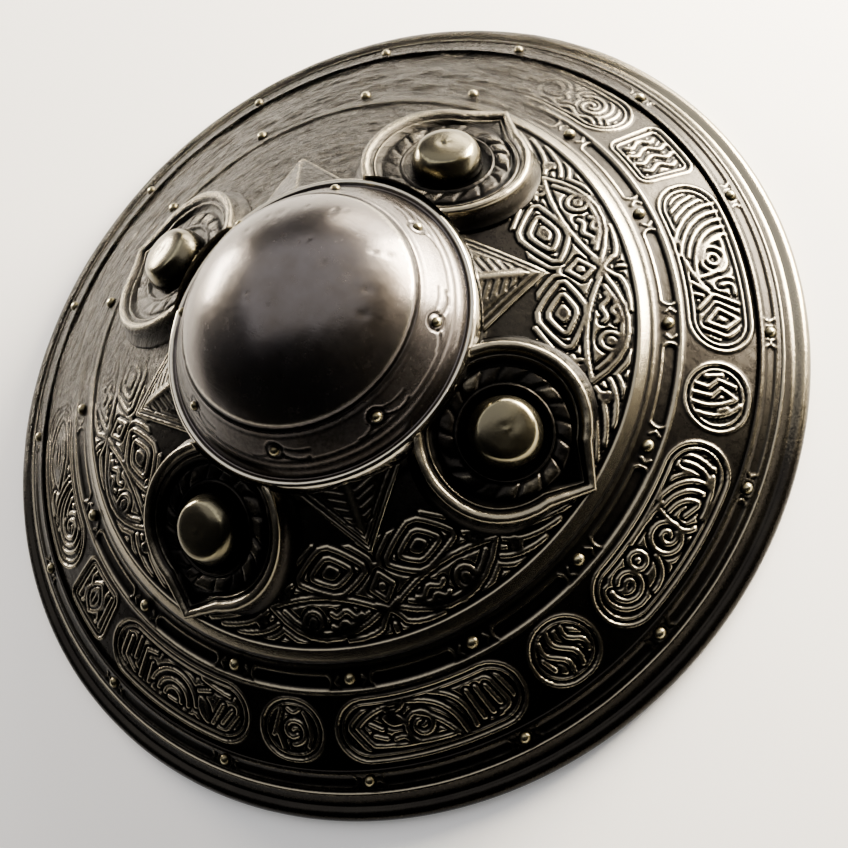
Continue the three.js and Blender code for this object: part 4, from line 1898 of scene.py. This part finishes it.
@dataclass
class Leaves:
    """Four low folded points between the bezels, engraved on both faces.

    Args:
        rows: rings from root to tip.
        across: points over the top of a ring.
        rise: height of the fold at the root.
        border: thickness of the edge.
    """

    rows: int = 56
    across: int = 65
    rise: float = 4.3
    border: float = 1.1

    def build(self, iron: bpy.types.Material) -> None:
        """Make the four leaves.

        Args:
            iron: their finish.
        """
        clear = FLANGE_RADIUS + FIT_GAP
        x = np.linspace(LEAF_ROOT + 3, LEAF_TIP - 0.7, self.rows)[:, None]
        s = np.linspace(-1, 1, self.across)[None, :]
        half = LEAF_SPREAD * (LEAF_TIP - x)
        y = half * s
        fold = self.rise * ((LEAF_TIP - x) / (LEAF_TIP - LEAF_ROOT)) ** 0.8
        ridge = 1 - np.sqrt(s**2 + 0.0016)
        foot = dish(np.hypot(x, y)) + DISC_LIFT + FIT_GAP
        for i in range(STUD_COUNT):
            heading = (i + 0.5) * TURN / STUD_COUNT
            relief = self.carve(x + 0 * s, y, half + 0 * s) * (1 - 0.85 * worn(heading))
            relief = relief + 0.08 * Grain(81).layer(x / 2.5 + 5 * i + 0 * s, y / 2.5 + 20, 256)
            lift = self.border + fold * ridge + relief
            top = np.stack([x + 0 * s, y, foot + np.maximum(lift, 0.2)], -1)
            under = np.stack([(x + 0 * s)[:, ::-8], y[:, ::-8], foot[:, ::-8]], -1)
            rings = np.concatenate([top, under], 1)
            out = np.hypot(rings[..., 0], rings[..., 1])
            rings[..., :2] *= np.maximum(1, clear / out)[..., None]
            wear = np.full(rings.shape[:2], 0.3)
            edge = 0.32 * np.exp(-(((1 - np.abs(s)) * half / 0.7) ** 2))
            edge = edge + 0.34 * np.exp(-((s * half / 0.8) ** 2))
            wear[:, : self.across] = np.clip(0.56 + edge + 0.9 * (relief - soften(relief, 4)), 0, 1)
            spin = np.array(Matrix.Rotation(heading, 3, "Z"))
            poles = tuple(rings[end].mean(0) @ spin.T for end in (0, -1))
            piece = rings_piece(f"leaf_{i + 1}_folded", rings @ spin.T, poles, wear)
            finish_piece(piece, iron, "dark_iron", f"leaf_{i + 1}")

    def carve(self, x: Array, y: Array, half: Array) -> Array:
        """Double line along each edge, and slanting strokes on the faces.

        Args:
            x: distance of each point from the axis, along the leaf.
            y: distance of each point from its fold.
            half: half the leaf's width at each point.

        Returns:
            Heights above the plain faces.
        """
        relief = np.zeros(x.shape)
        inward = (half - np.abs(y)) * math.cos(math.atan(LEAF_SPREAD))
        relief -= 0.5 * bar(np.abs(inward - 1.5), 0.5)
        relief -= 0.4 * bar(np.abs(inward - 3.4), 0.5)
        carving = Carving(x, y, relief)
        for side in (-1, 1):
            for k in range(5):
                start = 61.5 + 2.6 * k
                length = 6.8 - 1.1 * k
                stroke = line((start, side * 2.2), (start - 0.5 * length, side * (2.2 + length)))
                carving.cut_line(stroke, 0.55, 0.42)
        return relief


@dataclass
class RivetRow:
    """A circle of domed rivet heads.

    Args:
        node: name of the row's nodes.
        count: number of rivets.
        circle: radius of the row.
        head: radius of a head.
        rise: height of a head.
        seat: height that a head stands on.
        tilt: lean of a head away from the axis.
    """

    node: str
    count: int
    circle: float
    head: float
    rise: float
    seat: float
    tilt: float

    def build(self, brass: bpy.types.Material) -> None:
        """Make the heads, each a little uneven.

        Args:
            brass: their finish.
        """
        columns = 22
        angles = np.arange(columns) * TURN / columns
        arcs = np.linspace(0.18, math.pi / 2, 7)
        marks = np.append(0.95 - 0.7 * arcs / (math.pi / 2), 0.1)
        wear = np.repeat(marks[:, None], columns, 1)
        seat = Matrix.Translation((self.circle, 0, self.seat))
        rng = np.random.default_rng(len(self.node))
        for i in range(self.count):
            lean = rng.uniform(-0.05, 0.05, 2)[0]
            turn = Matrix.Rotation((i + 0.5) * TURN / self.count, 4, "Z")
            place = turn @ seat @ Matrix.Rotation(self.tilt + lean, 4, "Y")
            uneven = 1 + 0.04 * np.sin(2 * angles + i)
            rings, poles = domed_head((self.head, self.rise), uneven, arcs, FIT_GAP * 0.1, place)
            label = f"{self.node}_{i + 1:02d}"
            head = rings_piece(f"{label}_head", rings, poles, wear)
            finish_piece(head, brass, "rivet_metal", label)


@dataclass
class Grip:
    """Iron strap across the opening, with a sleeve of wound leather and two rivets.

    Args:
        half_length: half the strap's length.
        width: width of the strap.
        thick: thickness of the strap.
        level: height of the strap's middle.
        sleeve_half: half the sleeve's length.
        sleeve_wide: half the sleeve's width.
        sleeve_deep: half the sleeve's depth.
        sleeve_waist: how much thinner the sleeve is at its ends than at its middle.
        winding: width of the wound strip.
        rivet_at: distance of each rivet from the middle.
        rivet_head: radius of a rivet's head.
        rivet_rise: height of a rivet's head.
    """

    half_length: float = 76.0
    width: float = 20.0
    thick: float = 3.0
    level: float = 56.0
    sleeve_half: float = 43.0
    sleeve_wide: float = 14.0
    sleeve_deep: float = 9.5
    sleeve_waist: float = 1.6
    winding: float = 6.5
    rivet_at: float = 67.0
    rivet_head: float = 5.0
    rivet_rise: float = 2.4

    def build(self, iron: bpy.types.Material, leather: bpy.types.Material) -> None:
        """Make the strap, the sleeve and the rivets.

        Args:
            iron: finish of the strap and its rivets.
            leather: finish of the sleeve.
        """
        finish_piece(self.strap(), iron, "back_iron", "grip_strap")
        finish_piece(self.sleeve(), leather, "leather", "grip_sleeve")
        for i, side in enumerate((1, -1)):
            finish_piece(self.rivet(i + 1, side), iron, "back_iron", f"grip_rivet_{i + 1}")

    def strap_top(self, x: Array) -> Array:
        """Height of the strap's upper face, which follows the back of the plate near its ends."""
        lying = dish(np.hypot(x, self.width / 2)) - PLATE_THICK - FIT_GAP
        return np.minimum(lying, self.level + self.thick / 2)

    def strap(self) -> bpy.types.Object:
        """Flat bar with eased edges and rounded ends.

        Returns:
            The object.
        """
        x = np.linspace(-self.half_length, self.half_length, 90)
        a = np.linspace(0, TURN, 40, endpoint=False)
        wide = np.sign(np.cos(a)) * np.abs(np.cos(a)) ** 0.28
        deep = np.sign(np.sin(a)) * np.abs(np.sin(a)) ** 0.45
        taper = np.sqrt(np.clip(1 - (np.abs(x) / (self.half_length + 0.4)) ** 26, 0.02, 1))
        y = -wide[None, :] * self.width / 2 * taper[:, None]
        middle = self.strap_top(x)[:, None] - self.thick / 2
        z = middle + deep[None, :] * self.thick / 2 * 0.97
        rings = np.stack([x[:, None] + 0 * y, y, z], -1)[:, ::-1]
        dents = 0.08 * Grain(91).layer(rings[..., 0] / 5 + 30, rings[..., 1] / 5 + 30, 256)
        rings[..., 2] -= np.abs(dents)
        wear = np.broadcast_to(0.42 + 0.3 * np.abs(wide[::-1]) ** 8, rings.shape[:2])
        poles = tuple(rings[end].mean(0) for end in (0, -1))
        return rings_piece("grip_bar", rings, poles, wear)

    def sleeve(self) -> bpy.types.Object:
        """Oval tube of a leather strip wound side by side.

        Returns:
            The object.
        """
        x = np.linspace(-self.sleeve_half, self.sleeve_half, 150)
        a = np.linspace(0, TURN, 64, endpoint=False)
        turn = (x[:, None] / self.winding + a[None, :] / TURN) % 1.0
        crown = np.sqrt(np.clip(1 - (2 * turn - 1) ** 2, 0, 1)) ** 0.5
        waist = self.sleeve_waist * (x / self.sleeve_half) ** 2
        ends = np.sqrt(np.clip((self.sleeve_half + 0.05 - np.abs(x)) / 1.6, 0.0, 1))
        shrink = (1 - crown) * 0.9 + (1 - ends[:, None]) * 1.6
        y = np.cos(a) * (self.sleeve_wide - waist[:, None] - shrink)
        z = self.level + np.sin(a) * (self.sleeve_deep - waist[:, None] - shrink)
        outer = np.stack([x[:, None] + 0 * y, y, z], -1)
        bore_y, bore_z = self.width / 2 + FIT_GAP, self.thick / 2 + FIT_GAP
        scale = np.maximum(np.abs(np.cos(a)) / bore_y, np.abs(np.sin(a)) / bore_z)
        bore = [
            np.stack([np.full_like(a, end), np.cos(a) / scale, self.level + np.sin(a) / scale], -1)
            for end in (self.sleeve_half, -self.sleeve_half)
        ]
        rings = np.concatenate([outer, np.array(bore)])[:, ::-1]
        wear = np.concatenate([0.2 + 0.6 * crown, np.full((2, len(a)), 0.2)])[:, ::-1]
        return rings_piece("grip_winding", rings, None, wear)

    def rivet(self, number: int, side: int) -> bpy.types.Object:
        """Low domed head on the hollow side of the strap.

        Args:
            number: its number in the name.
            side: the end of the strap, 1 or -1.

        Returns:
            The object.
        """
        seat = float(self.strap_top(np.array(self.rivet_at))) - self.thick - FIT_GAP
        lean = math.pi + side * float(slope(self.rivet_at))
        place = Matrix.Translation((side * self.rivet_at, 0, seat)) @ Matrix.Rotation(lean, 4, "Y")
        size, arcs = (self.rivet_head, self.rivet_rise), np.linspace(0.12, math.pi / 2, 9)
        rings, poles = domed_head(size, np.ones(36), arcs, FIT_GAP * 0.2, place)
        return rings_piece(f"grip_rivet_{number}_head", rings, poles, np.full(rings.shape[:2], 0.55))


# ---------------------------------------------------------------- studio


SHIELD_MIDDLE = 0.05  # metres above the floor, where the lights are aimed


@dataclass(frozen=True)
class Softbox:
    """One soft studio light.

    Args:
        name: its name.
        heading: direction from the shield, in degrees round from +X.
        height: angle above the floor, in degrees.
        distance: metres from the shield.
        size: width and height in metres.
        watts: power.
        tint: sRGB colour.
    """

    name: str
    heading: float
    height: float
    distance: float
    size: tuple[float, float]
    watts: float
    tint: str = "#ffffff"

    def build(self) -> None:
        """Add the light, aimed at the shield."""
        data = bpy.data.lights.new(self.name, "AREA")
        data.shape = "RECTANGLE"
        data.size, data.size_y = self.size
        data.energy = self.watts
        data.color = linear(self.tint)[:3]
        lamp = bpy.data.objects.new(self.name, data)
        a, e = math.radians(self.heading), math.radians(self.height)
        aim = Vector((math.cos(a) * math.cos(e), math.sin(a) * math.cos(e), math.sin(e)))
        lamp.location = aim * self.distance + Vector((0, 0, SHIELD_MIDDLE))
        lamp.rotation_euler = aim.to_track_quat("Z", "Y").to_euler()
        bpy.context.scene.collection.objects.link(lamp)


@dataclass
class Studio:
    """Pale floor, soft lights and the camera.

    Args:
        floor_half: half the floor's width in metres.
        lights: the softboxes.
        eye: the camera's place, in millimetres.
        aim: what it looks at, in millimetres.
        roll: turn of the camera about its own line of sight, in degrees.
        lens: focal length in millimetres on a 36 mm sensor.
        floor_drop: how far the floor lies under the shield, in metres.
        floor_glow: strength of the light that the floor gives off.
    """

    floor_half: float = 6.0
    lights: tuple[Softbox, ...] = (
        Softbox("key_right", -16, 8.6, 0.72, (0.48, 0.27), 88, "#fff1d9"),
        Softbox("key_wide", 20, 8, 0.95, (0.40, 0.26), 9, "#fff3e0"),
        Softbox("back_left", 87, 6, 1.0, (0.34, 0.12), 22, "#fff1dc"),
        Softbox("top_glow", 38, 62, 2.2, (4.0, 3.0), 58, "#f3f1f4"),
    )
    eye: tuple[float, float, float] = (-89.8, -360.2, 601.9)
    aim: tuple[float, float, float] = (-2.1, -17.9, 0.0)
    roll: float = -45.4
    lens: float = 78.64
    floor_drop: float = 0.0002
    floor_glow: float = 0.24

    def build(self) -> None:
        """Lay the floor, hang the lights and set the camera."""
        self.floor()
        for light in self.lights:
            light.build()
        self.surroundings()
        self.camera()

    def floor(self) -> None:
        """Matt painted board that gives off a little light, a hair under the shield."""
        h = self.floor_half
        mesh = bpy.data.meshes.new("floor")
        mesh.from_pydata([(-h, -h, 0), (h, -h, 0), (h, h, 0), (-h, h, 0)], [], [(0, 1, 2, 3)])
        floor = bpy.data.objects.new("floor", mesh)
        floor.location.z = -self.floor_drop
        bpy.context.scene.collection.objects.link(floor)
        material = bpy.data.materials.new("matt_white_paint")
        material.use_nodes = True
        tree = material.node_tree
        shader = tree.nodes["Principled BSDF"]
        place = add_node(tree, "ShaderNodeTexCoord").outputs["Object"]
        mottle = add_node(
            tree, "ShaderNodeTexNoise", {"Vector": place, "Scale": per_metre(120), "Detail": 4.0}
        ).outputs["Fac"]
        colour = add_node(
            tree, "ShaderNodeValToRGB", {"Fac": mottle}, stops=((0.3, "#f1f0ee"), (0.7, "#f6f5f3"))
        ).outputs["Color"]
        tree.links.new(colour, shader.inputs["Base Color"])
        shader.inputs["Roughness"].default_value = 0.9
        shader.inputs["Emission Color"].default_value = linear("#f4f4f2")
        shader.inputs["Emission Strength"].default_value = self.floor_glow
        mesh.materials.append(material)

    def surroundings(self) -> None:
        """Dim room: grey towards the lights, darker behind the camera."""
        world = bpy.context.scene.world or bpy.data.worlds.new("room")
        bpy.context.scene.world = world
        world.use_nodes = True
        tree = world.node_tree
        background = next(node for node in tree.nodes if node.type == "BACKGROUND")
        way = add_node(tree, "ShaderNodeTexCoord").outputs["Generated"]
        toward = add_node(
            tree, "ShaderNodeVectorMath", {0: way, 1: (0.55, 0.75, 0.35)}, operation="DOT_PRODUCT"
        ).outputs["Value"]
        shade = add_node(
            tree, "ShaderNodeMapRange", {0: toward, 1: -0.6, 2: 0.9, 3: 0.0, 4: 1.0}
        ).outputs[0]
        stops = (0.0, "#0c0c0c"), (0.5, "#2c2c2e"), (1.0, "#7d7b80")
        colour = add_node(tree, "ShaderNodeValToRGB", {"Fac": shade}, stops=stops).outputs["Color"]
        tree.links.new(colour, background.inputs["Color"])
        background.inputs["Strength"].default_value = 1.0

    def camera(self) -> None:
        """Set the camera."""
        data = bpy.data.cameras.new("camera")
        data.sensor_width = 36.0
        data.lens = self.lens
        data.clip_end = 50.0
        camera = bpy.data.objects.new("camera", data)
        eye, aim = Vector(self.eye) * MM, Vector(self.aim) * MM
        look = (aim - eye).to_track_quat("-Z", "Y").to_matrix().to_4x4()
        roll = Matrix.Rotation(math.radians(self.roll), 4, "Z")
        camera.matrix_world = Matrix.Translation(eye) @ look @ roll
        bpy.context.scene.collection.objects.link(camera)
        bpy.context.scene.camera = camera


def mark_wear(piece: bpy.types.Object) -> None:
    """Store on each point how far the face is worn in its direction.

    Args:
        piece: the mesh object.
    """
    mesh = piece.data
    count = len(mesh.vertices)
    places = np.empty(count * 3, np.float32)
    mesh.vertices.foreach_get("co", places)
    places = places.reshape(-1, 3)
    share = 1.0 if piece.name.endswith("_face") else 0.45
    values = share * worn(np.arctan2(places[:, 1], places[:, 0])).astype(np.float32)
    mesh.attributes.new("worn", "FLOAT", "POINT").data.foreach_set("value", values)


def main() -> None:
    """Build the shield's looks piece by piece, then the studio."""
    logging.basicConfig(level=logging.INFO, format="%(name)s %(message)s")
    blackened, polished = BLACKENED_IRON.build(), POLISHED_IRON.build()
    brass, hammered, leather = DULL_BRASS.build(), HAMMERED_IRON.build(), Leather().build()
    knob_iron = KNOB_IRON.build()
    Plate().build(blackened)
    Disc().build(blackened)
    Rim().build(blackened)
    Boss().build(polished)
    Studs().build(blackened, knob_iron)
    Leaves().build(blackened)
    strip_lift = FIT_GAP + STRIP_THICK
    rim_seat = dish(RIM_RIVET_CIRCLE) + strip_lift - RIM_RIVET_SINK
    band_seat = dish(BAND_RIVET_CIRCLE) - BAND_RIVET_SINK
    rim_lean, band_lean = float(slope(RIM_RIVET_CIRCLE)), float(slope(BAND_RIVET_CIRCLE))
    RivetRow("rim_rivet", 16, RIM_RIVET_CIRCLE, 2.0, 1.7, rim_seat, rim_lean).build(brass)
    RivetRow("band_rivet", 16, BAND_RIVET_CIRCLE, 2.2, 1.8, band_seat, band_lean).build(brass)
    RivetRow("boss_rivet", 8, BOSS_RIVET_CIRCLE, 1.9, 1.6, COVE_SEAT, COVE_LEAN).build(brass)
    Grip().build(hammered, leather)
    for piece in bpy.context.scene.objects:
        if piece.type == "MESH" and "rub_and_painted_light" in piece.data.attributes:
            mark_wear(piece)
    Studio().build()


if __name__ == "__main__":
    main()
